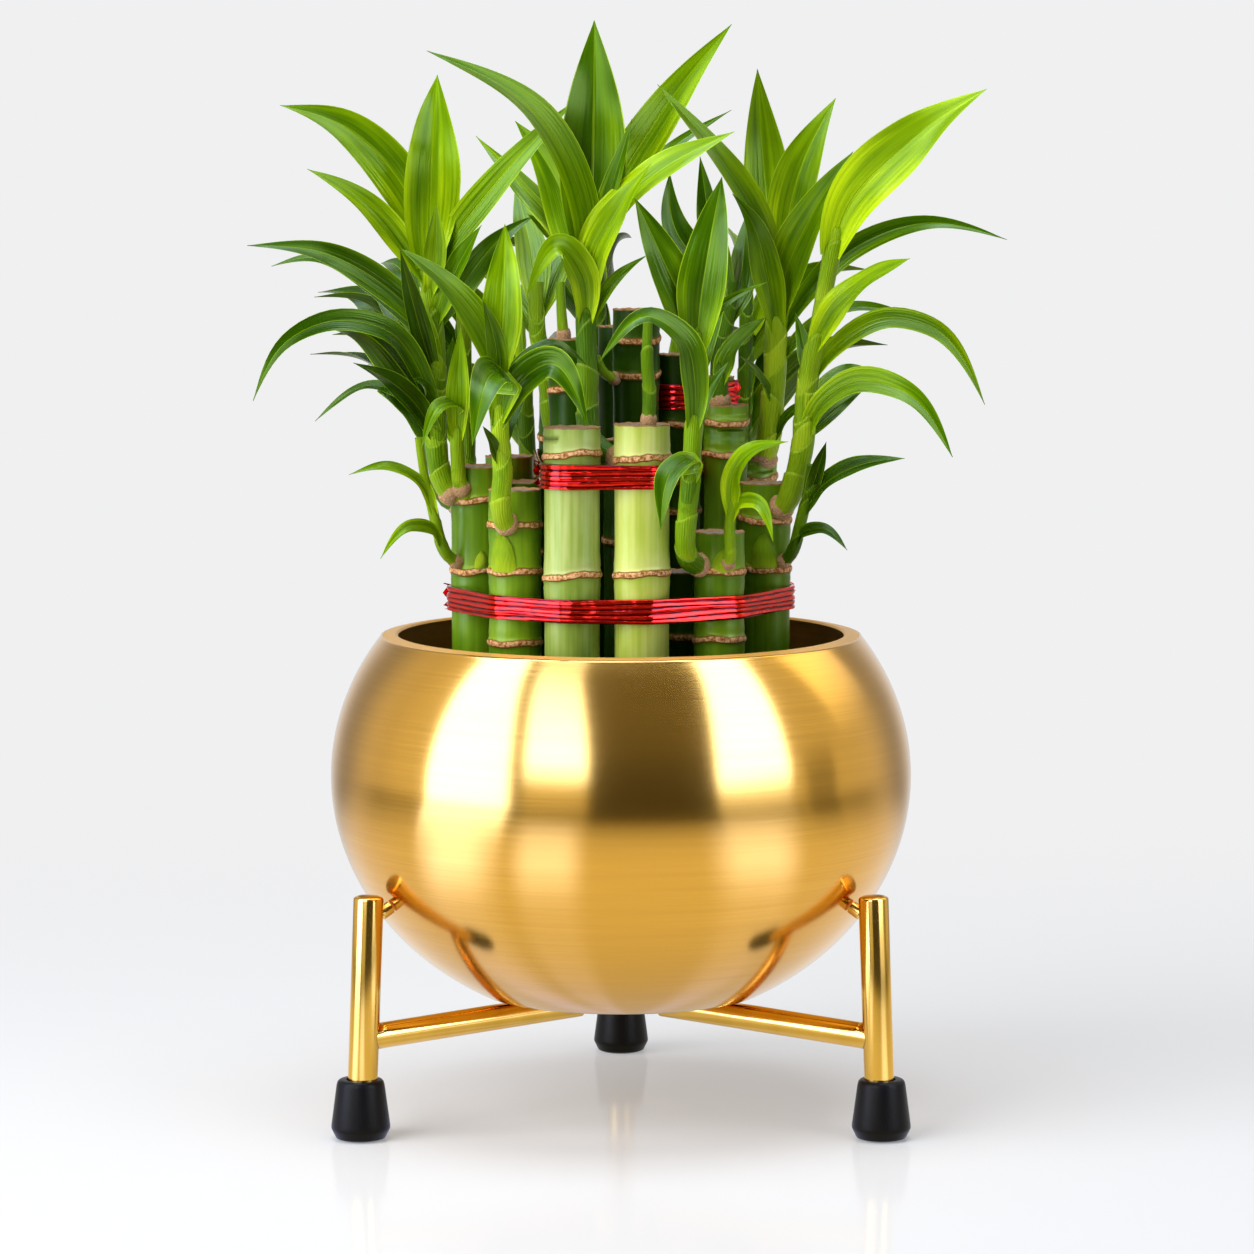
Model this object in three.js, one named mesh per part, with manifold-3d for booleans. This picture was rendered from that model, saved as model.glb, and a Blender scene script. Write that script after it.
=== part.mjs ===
// Lucky bamboo tower in a brushed gold bowl on a three-legged tube stand.
// Millimetres, +Z up, and the front faces -Y. Everything is laid out round the bowl's axis, and the whole
// is then moved so that the origin is on the floor under the middle of its outline.

import * as THREE from "three";
import { mergeVertices } from "three/addons/utils/BufferGeometryUtils.js";
import Module from "manifold-3d";

const wasm = await Module();
wasm.setup();

// Driving sizes of the bowl
const bowlRadius = 75;
const bowlHalfHeight = 64.5;
const bowlCentreZ = 87.8;
const bowlBottomZ = 31;
const rimZ = 124.8;
const wall = 3;
const lipDrop = 0.5;
const bowlSides = 36;

// Driving sizes of the fill and of the holes that the canes stand in
const fillTopZ = 112.5;
const fillSides = 24;
const socketBottomZ = 72;
const gap = 0.35;

// Driving sizes of the stand
const footReach = 76;
const legTopReach = 73.4;
const legTopZ = 62;
const legRadius = 3.8;
const railRadius = 3.3;
const railOuterZ = 25.7;
const railInnerZ = 28.6;
const railInnerReach = 12.5;
const hubRadius = 11.5;
const hubBottomZ = 26.6;
const studRadius = 1.7;
const studZ = 57;
const footHeight = 15.3;
const legBottomZ = 4.2;
const stands = { right: -30, left: 210, back: 90 };

// The eye that the plants are laid out from. A point is written as it is seen from there: across and up
// where its line of sight meets the bowl's middle plane, and then its own depth, towards the back.
const eyeDistance = 1200;
const eyeZ = 253.9;

// Driving sizes of the canes
const jointHalfHeight = 1.4;
const jointBulge = 0.5;
const frontSides = 10;
const hiddenSides = 8;

// Driving sizes of the ribbons
const ribbonThickness = 1;
const ribbonClearance = 0.4;

const looks = {
  leaf: { color: 0x5f9a2c, roughness: 0.4, metalness: 0 },
  gold: { color: 0xc9a15a, roughness: 0.28, metalness: 1 },
  polishedGold: { color: 0xd0a863, roughness: 0.14, metalness: 1 },
  rubber: { color: 0x141414, roughness: 0.6, metalness: 0 },
  pebble: { color: 0x1d1b19, roughness: 0.3, metalness: 0 },
  foil: { color: 0xb3101c, roughness: 0.25, metalness: 0.9 },
};

const part = new THREE.Group();

// Geometry helpers

function vector(x, y, z) {
  return new THREE.Vector3(x, y, z);
}

function seen([across, up, depth]) {
  const reach = (eyeDistance + depth) / eyeDistance;
  return vector(across * reach, depth, eyeZ + (up - eyeZ) * reach);
}

function geometryOf(points, triangles) {
  const geometry = new THREE.BufferGeometry();
  const flat = points.flatMap((point) => [point.x, point.y, point.z]);
  geometry.setAttribute("position", new THREE.Float32BufferAttribute(flat, 3));
  geometry.setIndex(triangles.flat());
  return geometry;
}

function solidOf(geometry) {
  const plain = geometry.clone();
  plain.deleteAttribute("normal");
  plain.deleteAttribute("uv");
  const merged = mergeVertices(plain, 1e-4);
  const index = merged.index.array;
  const kept = [];
  for (let i = 0; i < index.length; i += 3) {
    const [a, b, c] = index.subarray(i, i + 3);
    if (a !== b && b !== c && c !== a) kept.push(a, b, c);
  }
  return new wasm.Manifold(
    new wasm.Mesh({
      numProp: 3,
      vertProperties: new Float32Array(merged.attributes.position.array),
      triVerts: new Uint32Array(kept),
    }),
  );
}

// The largest connected shell of a solid: a loose scrap or a sealed pocket left by a join is dropped.
function mainShell(solid) {
  const mesh = solid.getMesh();
  const parent = Array.from({ length: mesh.numVert }, (_, i) => i);
  const root = (i) => {
    while (parent[i] !== i) i = parent[i] = parent[parent[i]];
    return i;
  };
  const corners = mesh.triVerts;
  for (let i = 0; i < corners.length; i += 3) {
    parent[root(corners[i])] = root(corners[i + 1]);
    parent[root(corners[i + 1])] = root(corners[i + 2]);
  }
  const counts = new Map();
  for (let i = 0; i < corners.length; i += 3) {
    const shell = root(corners[i]);
    counts.set(shell, (counts.get(shell) ?? 0) + 1);
  }
  const [largest] = [...counts.entries()].sort((a, b) => b[1] - a[1])[0];
  const kept = [];
  for (let i = 0; i < corners.length; i += 3) {
    if (root(corners[i]) === largest) kept.push(corners[i], corners[i + 1], corners[i + 2]);
  }
  const geometry = new THREE.BufferGeometry();
  const places = new Float32Array(mesh.numVert * 3);
  for (let i = 0; i < mesh.numVert; i++) {
    places.set(mesh.vertProperties.subarray(i * mesh.numProp, i * mesh.numProp + 3), i * 3);
  }
  geometry.setAttribute("position", new THREE.BufferAttribute(places, 3));
  geometry.setIndex(kept);
  return geometry.toNonIndexed();
}

function place(name, look, solid) {
  const geometry = mainShell(solid);
  geometry.computeVertexNormals();
  const mesh = new THREE.Mesh(geometry, new THREE.MeshStandardMaterial(looks[look]));
  mesh.name = name;
  part.add(mesh);
}

// A solid turned about the Z axis. The profile is a list of [radius, height] that starts and ends at
// radius 0.
function turned(profile, sides) {
  const points = profile.map(([radius, height]) => new THREE.Vector2(radius, height));
  const geometry = new THREE.LatheGeometry(points, sides);
  geometry.rotateX(Math.PI / 2);
  return solidOf(geometry);
}

// A closed tube through rings of equal corner count, with flat ends.
function ringed(rings) {
  const count = rings[0].length;
  const triangles = [];
  for (let i = 0; i + 1 < rings.length; i++) {
    for (let j = 0; j < count; j++) {
      const here = i * count + j;
      const next = i * count + ((j + 1) % count);
      triangles.push([here, next, next + count], [here, next + count, here + count]);
    }
  }
  const last = (rings.length - 1) * count;
  for (let j = 1; j + 1 < count; j++) {
    triangles.push([0, j + 1, j], [last, last + j, last + j + 1]);
  }
  return solidOf(geometryOf(rings.flat(), triangles));
}

// A round rod between two points.
function rod(start, end, radius, sides) {
  return sweep([start, end], () => radius, sides, 1);
}

// Smooth curve through points: cubic pieces whose knots are the distances between the points.
function curveThrough(points) {
  const knots = [0];
  for (let i = 1; i < points.length; i++) {
    knots.push(knots[i - 1] + points[i].distanceTo(points[i - 1]));
  }
  const slope = (i) => points[i + 1].clone().sub(points[i]).divideScalar(knots[i + 1] - knots[i]);
  const last = points.length - 1;
  const tangents = points.map((_, i) => {
    if (i === 0 || i === last) return slope(Math.min(i, last - 1));
    const before = knots[i] - knots[i - 1];
    const after = knots[i + 1] - knots[i];
    return slope(i - 1).multiplyScalar(after).addScaledVector(slope(i), before).divideScalar(before + after);
  });
  if (last > 1) {
    tangents[0].multiplyScalar(1.5).addScaledVector(tangents[1], -0.5);
    tangents[last].multiplyScalar(1.5).addScaledVector(tangents[last - 1], -0.5);
  }
  return (share) => {
    const knot = share * knots[last];
    let i = 0;
    while (i < last - 1 && knot > knots[i + 1]) i++;
    const span = knots[i + 1] - knots[i];
    const u = (knot - knots[i]) / span;
    const v = 1 - u;
    return points[i]
      .clone()
      .multiplyScalar(v * v * (1 + 2 * u))
      .addScaledVector(tangents[i], span * u * v * v)
      .addScaledVector(points[i + 1], u * u * (3 - 2 * u))
      .addScaledVector(tangents[i + 1], -span * u * u * v);
  };
}

function tangentAt(curve, share) {
  const step = 0.01;
  const ahead = curve(Math.min(share + step, 1));
  return ahead.sub(curve(Math.max(share - step, 0))).normalize();
}

// A rod along a smooth path, with a radius for each share of its length.
function sweep(points, radiusAt, sides, pieces) {
  const curve = curveThrough(points);
  const rings = [];
  let side = vector(0, 1, 0);
  for (let i = 0; i <= pieces; i++) {
    const share = i / pieces;
    const tangent = tangentAt(curve, share);
    if (Math.abs(side.dot(tangent)) > 0.95) side = vector(1, 0, 0);
    side = side.addScaledVector(tangent, -side.dot(tangent)).normalize();
    const across = tangent.clone().cross(side);
    const centre = curve(share);
    const radius = radiusAt(share);
    const ring = [];
    for (let j = 0; j < sides; j++) {
      const turn = (2 * Math.PI * j) / sides;
      ring.push(
        centre
          .clone()
          .addScaledVector(side, radius * Math.cos(turn))
          .addScaledVector(across, radius * Math.sin(turn)),
      );
    }
    rings.push(ring);
  }
  return ringed(rings);
}

// The bowl and what stands in it

function shellRadius(z, inset) {
  const height = (z - bowlCentreZ) / (bowlHalfHeight - inset);
  return (bowlRadius - inset) * Math.sqrt(1 - height * height);
}

// Points up one wall of the bowl, evenly spread in angle round its centre.
function wallProfile(bottomZ, topZ, inset, count) {
  const tilt = (z) => Math.asin((z - bowlCentreZ) / (bowlHalfHeight - inset));
  const points = [];
  for (let i = 0; i <= count; i++) {
    const angle = tilt(bottomZ) + ((tilt(topZ) - tilt(bottomZ)) * i) / count;
    points.push([
      (bowlRadius - inset) * Math.cos(angle),
      bowlCentreZ + (bowlHalfHeight - inset) * Math.sin(angle),
    ]);
  }
  return points;
}

function makeBowl() {
  const outside = wallProfile(bowlBottomZ, rimZ - lipDrop, 0, 9);
  const inside = wallProfile(bowlBottomZ + wall, rimZ, wall, 7).reverse();
  place("bowl", "gold", turned([[0, bowlBottomZ], ...outside, ...inside, [0, bowlBottomZ + wall]], bowlSides));
}

// A solid of the bowl's outer form, a little larger, that cuts what rests against the bowl.
function bowlCutter() {
  const outside = wallProfile(bowlBottomZ, rimZ - lipDrop, 0, 9).map(([radius, z]) => [radius + gap, z]);
  const [lowest] = outside;
  return turned([[0, bowlBottomZ - gap], [lowest[0], bowlBottomZ - gap], ...outside, [0, rimZ]], bowlSides);
}

function makeFill(canes) {
  const inset = wall + 3 * gap;
  const bottomZ = bowlBottomZ + inset;
  const profile = [[0, bottomZ], ...wallProfile(bottomZ, fillTopZ, inset, 5), [0, fillTopZ]];
  let fill = turned(profile, fillSides);
  for (const cane of canes) {
    const hole = turned(
      [
        [0, socketBottomZ - gap],
        [cane.radius + gap, socketBottomZ - gap],
        [cane.radius + gap, fillTopZ + 1],
        [0, fillTopZ + 1],
      ],
      cane.sides,
    );
    fill = fill.subtract(hole.translate([cane.x, cane.y, 0]));
  }
  place("pebble_fill", "pebble", fill);
}

// The stand

function standPoint(degrees, reach, z) {
  const turn = THREE.MathUtils.degToRad(degrees);
  return vector(reach * Math.cos(turn), reach * Math.sin(turn), z);
}

function legReach(z) {
  return footReach + ((legTopReach - footReach) * z) / legTopZ;
}

function makeStand() {
  const bowl = bowlCutter();
  for (const [side, degrees] of Object.entries(stands)) {
    const leg = legShape(degrees, 0);
    const legRoom = legShape(degrees, gap);
    place("leg_" + side, "polishedGold", leg);

    const railStart = standPoint(degrees, legReach(railOuterZ), railOuterZ);
    const railEnd = standPoint(degrees, railInnerReach, railInnerZ);
    const rail = rod(railStart, railEnd, railRadius, 16).subtract(legRoom).subtract(bowl);
    place("rail_" + side, "polishedGold", rail);

    const studStart = standPoint(degrees, legReach(studZ), studZ);
    const studEnd = standPoint(degrees, shellRadius(studZ + 1.5, 0) - 1, studZ + 1.5);
    const stud = rod(studStart, studEnd, studRadius, 12).subtract(legRoom).subtract(bowl);
    place("stud_" + side, "polishedGold", stud);

    place("foot_" + side, "rubber", footShape(degrees).subtract(legRoom));
  }
  const hubTop = bowlBottomZ - gap;
  const hubProfile = [
    [0, hubBottomZ],
    [hubRadius - 1, hubBottomZ],
    [hubRadius, hubBottomZ + 1],
    [hubRadius, hubTop],
    [0, hubTop],
  ];
  place("stand_hub", "polishedGold", turned(hubProfile, 24));
}

// A leg is a straight tube with a closed, slightly domed top. `extra` widens it for cutting its room.
function legShape(degrees, extra) {
  const domeHeight = 1.2;
  const foot = standPoint(degrees, legReach(legBottomZ), legBottomZ);
  const top = standPoint(degrees, legReach(legTopZ), legTopZ);
  const length = foot.distanceTo(top);
  const profile = [
    [0, -extra],
    [legRadius + extra, -extra],
    [legRadius + extra, length - domeHeight],
    [0.75 * legRadius + extra, length - 0.3 * domeHeight + extra],
    [0, length + extra],
  ];
  const lean = Math.atan2(footReach - legTopReach, legTopZ);
  const leg = turned(profile, 20);
  return leg
    .rotate([0, -THREE.MathUtils.radToDeg(lean), 0])
    .rotate([0, 0, degrees])
    .translate([foot.x, foot.y, foot.z]);
}

function footShape(degrees) {
  const spot = standPoint(degrees, footReach, 0);
  const profile = [
    [0, 0],
    [5.4, 0],
    [6.9, 0.9],
    [7.5, 3.5],
    [7.1, 8],
    [6.1, 14.3],
    [5.4, footHeight],
    [0, footHeight],
  ];
  return turned(profile, 18).translate([spot.x, spot.y, 0]);
}

// The canes. Each is a straight rod with swollen joints and a flat cut top, at its place in the bowl.
const canes = {
  front_far_left: { x: -37, y: -6, radius: 6.5, top: 168.4, joints: [141.9, 160], sides: frontSides },
  front_left: { x: -26.7, y: -25, radius: 6.6, top: 163.9, joints: [124.8, 142.9, 154.6], sides: frontSides },
  front_mid_left: { x: -12.2, y: -35, radius: 7.05, top: 180.2, joints: [142.8, 173.2], sides: frontSides },
  front_mid_right: { x: 5.2, y: -36, radius: 6.95, top: 181, joints: [143.8, 172.6], sides: frontSides },
  front_right: { x: 24.7, y: -26, radius: 6.6, top: 153.3, joints: [125.9, 143], sides: frontSides },
  front_far_right: { x: 37, y: -4, radius: 6.5, top: 164, joints: [141.9, 154.4], sides: frontSides },
  middle_front_right: { x: 15.5, y: -12.5, radius: 6.3, top: 142, joints: [126], sides: hiddenSides },
  middle_front: { x: 1.5, y: -17, radius: 6, top: 176, joints: [150], sides: hiddenSides },
  middle_left: { x: -24.5, y: 0.5, radius: 6, top: 164, joints: [145], sides: hiddenSides },
  middle_right: { x: 27, y: 4, radius: 5.6, top: 183.5, joints: [148, 171, 179], sides: frontSides },
  tall_left: { x: -12.4, y: -6, radius: 6, top: 201, joints: [158, 188], sides: frontSides },
  tall_centre: { x: 4, y: 8, radius: 6, top: 208, joints: [160, 191, 200], sides: frontSides },
  tall_back_left: { x: -15.5, y: 14, radius: 6, top: 199.5, joints: [152, 174], sides: hiddenSides },
  tall_back_right: { x: 14.8, y: 16, radius: 6, top: 196, joints: [155, 178], sides: hiddenSides },
  tall_back: { x: 0, y: 22, radius: 6, top: 203, joints: [162, 190], sides: hiddenSides },
  back_far_right: { x: 34.5, y: 17.5, radius: 6.2, top: 168.5, joints: [141, 163.8], sides: frontSides },
  back_right: { x: 23.5, y: 28.2, radius: 6.3, top: 189.5, joints: [143, 166], sides: hiddenSides },
  back_mid_right: { x: 10.5, y: 35.2, radius: 6.5, top: 166, joints: [140, 156], sides: hiddenSides },
  back_middle: { x: -4.2, y: 36.5, radius: 6.6, top: 172, joints: [144, 162], sides: hiddenSides },
  back_mid_left: { x: -18.1, y: 31.9, radius: 6.4, top: 163, joints: [140, 154], sides: hiddenSides },
  back_left: { x: -29.2, y: 22.2, radius: 6.5, top: 169, joints: [142, 159], sides: hiddenSides },
  back_far_left: { x: -35.6, y: 8.9, radius: 6.3, top: 166, joints: [145, 157], sides: hiddenSides },
};

function caneSolid({ x, y, radius, top, joints, sides }) {
  const waist = 0.97 * radius;
  const profile = [
    [0, socketBottomZ],
    [waist, socketBottomZ],
  ];
  for (const joint of joints) {
    profile.push([waist, joint - jointHalfHeight]);
    profile.push([radius + jointBulge, joint]);
    profile.push([waist, joint + jointHalfHeight]);
  }
  profile.push([radius, top], [0, top]);
  return turned(profile, sides).translate([x, y, 0]);
}

// The leafy shoots. Each grows from one cane: its stem's path from inside the cane to its tip, its
// stem's radius, and its leaves, each as a width and then its path from inside the stem to the leaf's
// tip. All paths are points as seen from the eye.
const frontShoots = [
  {
    cane: "front_far_left",
    radius: 2.7,
    stem: [[-39, 160, -8], [-44, 161, -9], [-46.5, 166, -9], [-47.5, 173, -10], [-47.5, 185, -10],
      [-47.5, 200, -11], [-49, 212, -11], [-49.7, 226, -12]],
    leaves: [
      [12, [-49.5, 222, -12], [-54, 236, -14], [-70, 254, -20], [-87, 260, -26]],
      [14.5, [-49.5, 219, -12], [-49, 232, -16], [-48.5, 245, -18], [-46.8, 267.7, -10]],
      [7, [-49.5, 214, -11], [-53, 220, -13], [-65, 235, -21], [-80.2, 243.8, -28]],
      [5.5, [-49.5, 221, -11], [-55, 231, -4], [-62, 247, 8]],
      [8, [-49, 218, -11], [-45.5, 228, 0], [-43, 247, 13]],
      [6, [-48.8, 212, -12], [-47.5, 222, -20], [-47.3, 235, -31]],
      [8, [-49, 215, -12], [-43, 226, -15], [-33, 239, -19], [-12, 261, -22]],
      [7, [-47.8, 204, -11], [-43, 216, -17], [-35.7, 229.5, -29]],
      [7, [-47.8, 202, -11], [-40, 215, -4], [-31, 226, 3], [-22, 232, 8]],
      [7.5, [-47.5, 195, -11], [-51, 204, -14], [-62, 215, -20], [-75, 222, -26], [-95.7, 224.3, -34]],
      [5.5, [-47.5, 193, -10], [-51, 201, -6], [-65, 214, 1], [-78, 221, 7], [-89.5, 219, 12]],
      [6.5, [-47.5, 180, -10], [-50, 188, -14], [-61, 203, -26], [-75, 204.8, -32], [-86, 199.5, -36],
        [-94.5, 184.5, -38]],
      [6, [-47.5, 190, -10], [-52, 197, -4], [-65, 216, 10]],
      [6, [-47.5, 190, -10], [-50.5, 199, -16], [-56.5, 223, -30]],
      [6.5, [-47.5, 174, -10], [-51, 181, -15], [-58, 188.5, -24], [-68.7, 194.3, -34]],
      [4, [-47.5, 177, -9], [-52, 183, -3], [-65, 188.3, 6], [-78.6, 179.3, 12]],
      [4, [-47.5, 182, -10], [-50.5, 188, -17], [-53.5, 190, -26]],
      [6, [-47.5, 176, -8], [-45.5, 184, -2], [-43, 201, 7]],
    ],
  },
  {
    cane: "front_far_left",
    radius: 2,
    stem: [[-38, 159, -9], [-41, 162, -12], [-42, 170, -14], [-42, 181, -15]],
    leaves: [
      [4.5, [-42, 176, -14], [-41, 183, -17], [-46, 183.5, -23], [-51.2, 172.5, -30]],
      [6, [-42, 174, -14], [-42, 184, -19], [-41, 203.5, -26]],
    ],
  },
  {
    cane: "front_far_left",
    radius: 1.5,
    stem: [[-39, 142, -8], [-45, 145, -13], [-47, 150, -15], [-48.5, 157, -17], [-50.5, 165, -19],
      [-52, 175, -21]],
    leaves: [
      [4, [-48, 155, -17], [-51, 162.5, -20], [-60, 167.5, -25], [-70, 165.5, -29]],
      [3.5, [-46.5, 147, -14], [-49, 151.5, -20], [-55, 152, -26], [-62, 143.8, -32]],
    ],
  },
  {
    cane: "front_left",
    radius: 2.5,
    stem: [[-28, 152, -28], [-30.3, 154, -34], [-31, 160, -38], [-30.5, 165, -39], [-31, 175, -40],
      [-31.5, 190, -42], [-31, 198, -43]],
    leaves: [
      [10.5, [-31.2, 192, -42], [-30, 212, -46], [-29.7, 229.8, -43]],
      [8, [-31.5, 188, -42], [-33, 196, -45], [-43.5, 213, -53], [-56.7, 223.7, -60]],
      [5.5, [-31.5, 186, -42], [-32, 197, -50], [-35.5, 210.5, -62]],
      [10, [-31.3, 180, -41], [-30, 189, -48], [-33.5, 191, -60], [-38.2, 173, -74]],
      [9, [-31.3, 178, -41], [-27, 188, -44], [-18, 194, -50], [-8.5, 178, -57]],
      [4.5, [-31.5, 182, -41], [-27, 192, -37], [-18, 199, -33], [-9, 194, -29]],
      [3.5, [-31, 168, -40], [-33, 173, -43], [-35.5, 178, -48]],
      [4, [-31, 170, -40], [-29, 178, -37], [-22.5, 191, -32]],
    ],
  },
  {
    cane: "front_mid_right",
    radius: 2.8,
    stem: [[1, 169.5, -33], [-4.2, 171, -28], [-7.6, 174.5, -25], [-8.5, 179, -23], [-8.5, 190, -21],
      [-9, 205, -20], [-8.6, 218, -20], [-8, 230, -20]],
    leaves: [
      [17, [-8.3, 222, -20], [-7.6, 236, -23], [-7, 257, -29], [-6.8, 281.5, -25]],
      [5, [-8.2, 223, -20], [-3.5, 236, -27], [2.8, 256.5, -40]],
      [9.5, [-8.6, 218, -20], [-9.5, 233, -27], [-22, 258, -38], [-49.5, 273.8, -46]],
      [11, [-8.7, 213, -20], [-12, 226, -15], [-16, 240, -8], [-27, 256, 0]],
      [11, [-8.3, 221, -20], [-2, 238, -13], [11, 259, -5], [28.2, 280.5, 4]],
      [11, [-8.6, 214, -20], [-5, 227, -27], [6, 240, -36], [29, 253.3, -45]],
      [8, [-8.8, 208, -20], [-7, 221, -27], [-1, 233, -36], [7.8, 245.2, -46]],
      [7, [-8.8, 212, -20], [-15, 227, -12], [-26, 240, -4], [-37, 252.2, 3]],
      [8, [-9, 204, -20], [-10, 217, -27], [-16, 224, -33], [-24.3, 211.3, -36]],
      [7, [-8.8, 210, -20], [-13, 222, -14], [-24, 232.4, -6]],
      [5, [-8.7, 215, -19], [0, 236, -7], [13, 249, 3], [28.2, 258.8, 11]],
      [3.5, [-9, 202, -20], [-3, 214, -24], [7, 222, -30]],
    ],
  },
  {
    cane: "front_mid_right",
    radius: 1.7,
    stem: [[6.7, 176, -36], [7.3, 186, -36], [6.7, 195, -36], [7, 206, -36]],
    leaves: [],
  },
  {
    cane: "tall_left",
    radius: 1.6,
    stem: [[-14, 196, -6], [-15, 204, -7], [-15.5, 215, -7]],
    leaves: [],
  },
  {
    cane: "tall_back_left",
    radius: 2.5,
    stem: [[-15.5, 173, 12], [-17.5, 178, 6.5], [-19, 190, 4], [-21.5, 203, 4], [-21.5, 215, 5]],
    leaves: [
      [9, [-21.5, 207, 4.5], [-23, 222, 17], [-27, 240, 34]],
      [8, [-21.6, 204, 4], [-16, 219, 17], [-8, 232, 31]],
      [7, [-21.2, 200, 4], [-27, 210, 14], [-40, 222, 26]],
    ],
  },
  {
    cane: "tall_centre",
    radius: 1.5,
    stem: [[0, 190, 6], [-4, 191.5, 3], [-6.3, 196, 2]],
    leaves: [],
  },
  {
    cane: "front_right",
    radius: 2.5,
    stem: [[21.5, 142, -29], [17.3, 143.8, -36], [16.6, 148, -40], [17, 155, -43], [18, 165, -45],
      [18.5, 175, -46], [19.5, 188, -47], [19.5, 206, -49]],
    leaves: [
      [11, [19.5, 197, -48], [17.5, 205, -50], [11.5, 219, -54], [3.5, 236.5, -58]],
      [12, [19.5, 198, -48], [20, 206, -51], [22.3, 222, -55], [25.8, 241.8, -50]],
      [7.5, [18.6, 177, -46], [19, 188, -52], [16, 200, -57], [7, 206, -60], [-5.5, 194.5, -64]],
      [7, [19.5, 189, -47], [21, 198, -43], [27, 213.7, -34]],
      [7, [18, 164, -45], [17.5, 169, -51], [13, 166, -57], [10.2, 151.2, -62]],
      [4.5, [18.2, 167, -45], [21, 184, -40], [27.5, 194.4, -33]],
      [3.5, [19.5, 188, -47], [24, 207, -49], [37.5, 215, -52]],
    ],
  },
  {
    cane: "back_far_right",
    radius: 3.1,
    stem: [[34, 165, 17.5], [37, 171, 14], [38.3, 178, 12], [39.3, 188, 10], [40, 205, 8],
      [41.3, 216, 8], [42, 229, 8]],
    leaves: [
      [12, [41.5, 219, 8], [38, 231, 13], [36.2, 248, 15], [34.8, 269.2, 10]],
      [12, [41.6, 220, 8], [42.5, 230, 4], [46, 244, -1], [54.8, 261.8, -5]],
      [11, [40.5, 207, 8], [43, 219, 0], [49.5, 233, -11], [59.3, 248.2, -22]],
      [8.5, [40.5, 213, 8], [35.5, 230, -5], [24, 248, -18], [9.3, 265.3, -25]],
      [8, [40, 202, 8], [37.5, 217, -1], [34, 229, -9], [28.5, 237.5, -17]],
      [3.5, [39.5, 183, 10], [36, 190, 4], [30.3, 196.2, -4]],
      [4, [38.2, 173, 12], [43, 180.5, 7], [49.8, 185.5, 2]],
      [6, [39.8, 199, 8], [47, 211, 9], [58, 222.5, 10], [78, 230, 12], [98.8, 225.8, 12]],
      [4, [39.8, 192, 9], [45, 200, 9], [57, 208, 8], [79, 204, 8]],
    ],
  },
  {
    cane: "front_far_right",
    radius: 2.8,
    stem: [[39, 156.5, -6], [42.3, 158, -11], [45, 165, -13], [46.6, 172, -14], [47.3, 182, -14],
      [48, 190, -14], [50, 200, -15], [53, 217, -15], [55.5, 229, -16]],
    leaves: [
      [14, [54, 222, -15], [58, 234, -19], [73, 250, -28], [93.3, 264.1, -38]],
      [9, [49.8, 198, -15], [54, 206, -20], [63, 215, -28], [74, 221, -38]],
      [6, [48, 188, -14], [53, 196, -13], [68, 205.5, -10], [80, 203, -7], [93.5, 183.5, -3]],
      [7.5, [47.3, 175, -14], [51, 183, -18], [61, 189.3, -24], [74, 186, -30], [85.3, 170, -34]],
      [5, [47.5, 181, -14], [52, 187.5, -11], [57.5, 192, -7], [66.3, 191.3, -3]],
      [4.5, [47, 174, -14], [52, 180, -10], [62.8, 187.7, -3]],
      [4, [48.3, 189, -14], [47.5, 196, -10], [44.7, 207, -4]],
    ],
  },
  {
    cane: "front_far_right",
    radius: 1.6,
    stem: [[39, 142, -6], [43.5, 144.5, -11], [46, 152, -15], [47.8, 160, -17], [49, 168, -19]],
    leaves: [
      [6.5, [47.5, 156, -16], [50.5, 161, -20], [60, 167.3, -28], [73, 169.7, -36]],
      [3.5, [45, 147, -13], [47, 150.5, -17], [52, 151.5, -22], [58.3, 146, -29]],
      [4, [47.8, 158, -17], [50.5, 166, -21], [52.8, 174, -27]],
    ],
  },
  {
    cane: "front_right",
    radius: 1.5,
    stem: [[26.5, 141, -29], [28.2, 144.5, -35], [28, 152, -37], [28.7, 159, -38], [29.5, 165, -39]],
    leaves: [
      [6, [28.3, 155, -37], [29, 165, -43], [33, 171, -49], [43, 174, -57]],
      [4, [28.1, 153, -37], [30.5, 158, -40], [35, 158.3, -45], [39.2, 148.3, -51]],
    ],
  },
  {
    cane: "middle_right",
    radius: 2.4,
    stem: [[26.3, 179, 4], [25.2, 187, 4], [25.2, 195, 5], [27, 205, 6], [29, 215, 7]],
    leaves: [
      [9, [27.5, 207, 6], [21, 218, 14], [14, 228, 19], [12.5, 243, 26]],
      [7, [28.2, 211, 7], [24, 225, 14], [20.2, 247, 21]],
      [8, [27, 203, 6], [30.5, 216, 15], [32, 232, 26]],
      [6, [25.2, 188, 4], [28, 197, 2], [37.2, 206, -2]],
    ],
  },
];

// How a front leaf's face leans: towards the eye and up.
const frontFacing = vector(0, -0.85, 0.53);

// The share of a leaf's full width at a share of its length.
const leafWidest = 0.4;
const leafRootWidth = 0.35;

function leafOutline(share) {
  if (share < leafWidest) {
    return leafRootWidth + (1 - leafRootWidth) * Math.sin((Math.PI / 2) * (share / leafWidest));
  }
  return Math.cos((Math.PI / 2) * ((share - leafWidest) / (1 - leafWidest)));
}

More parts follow.
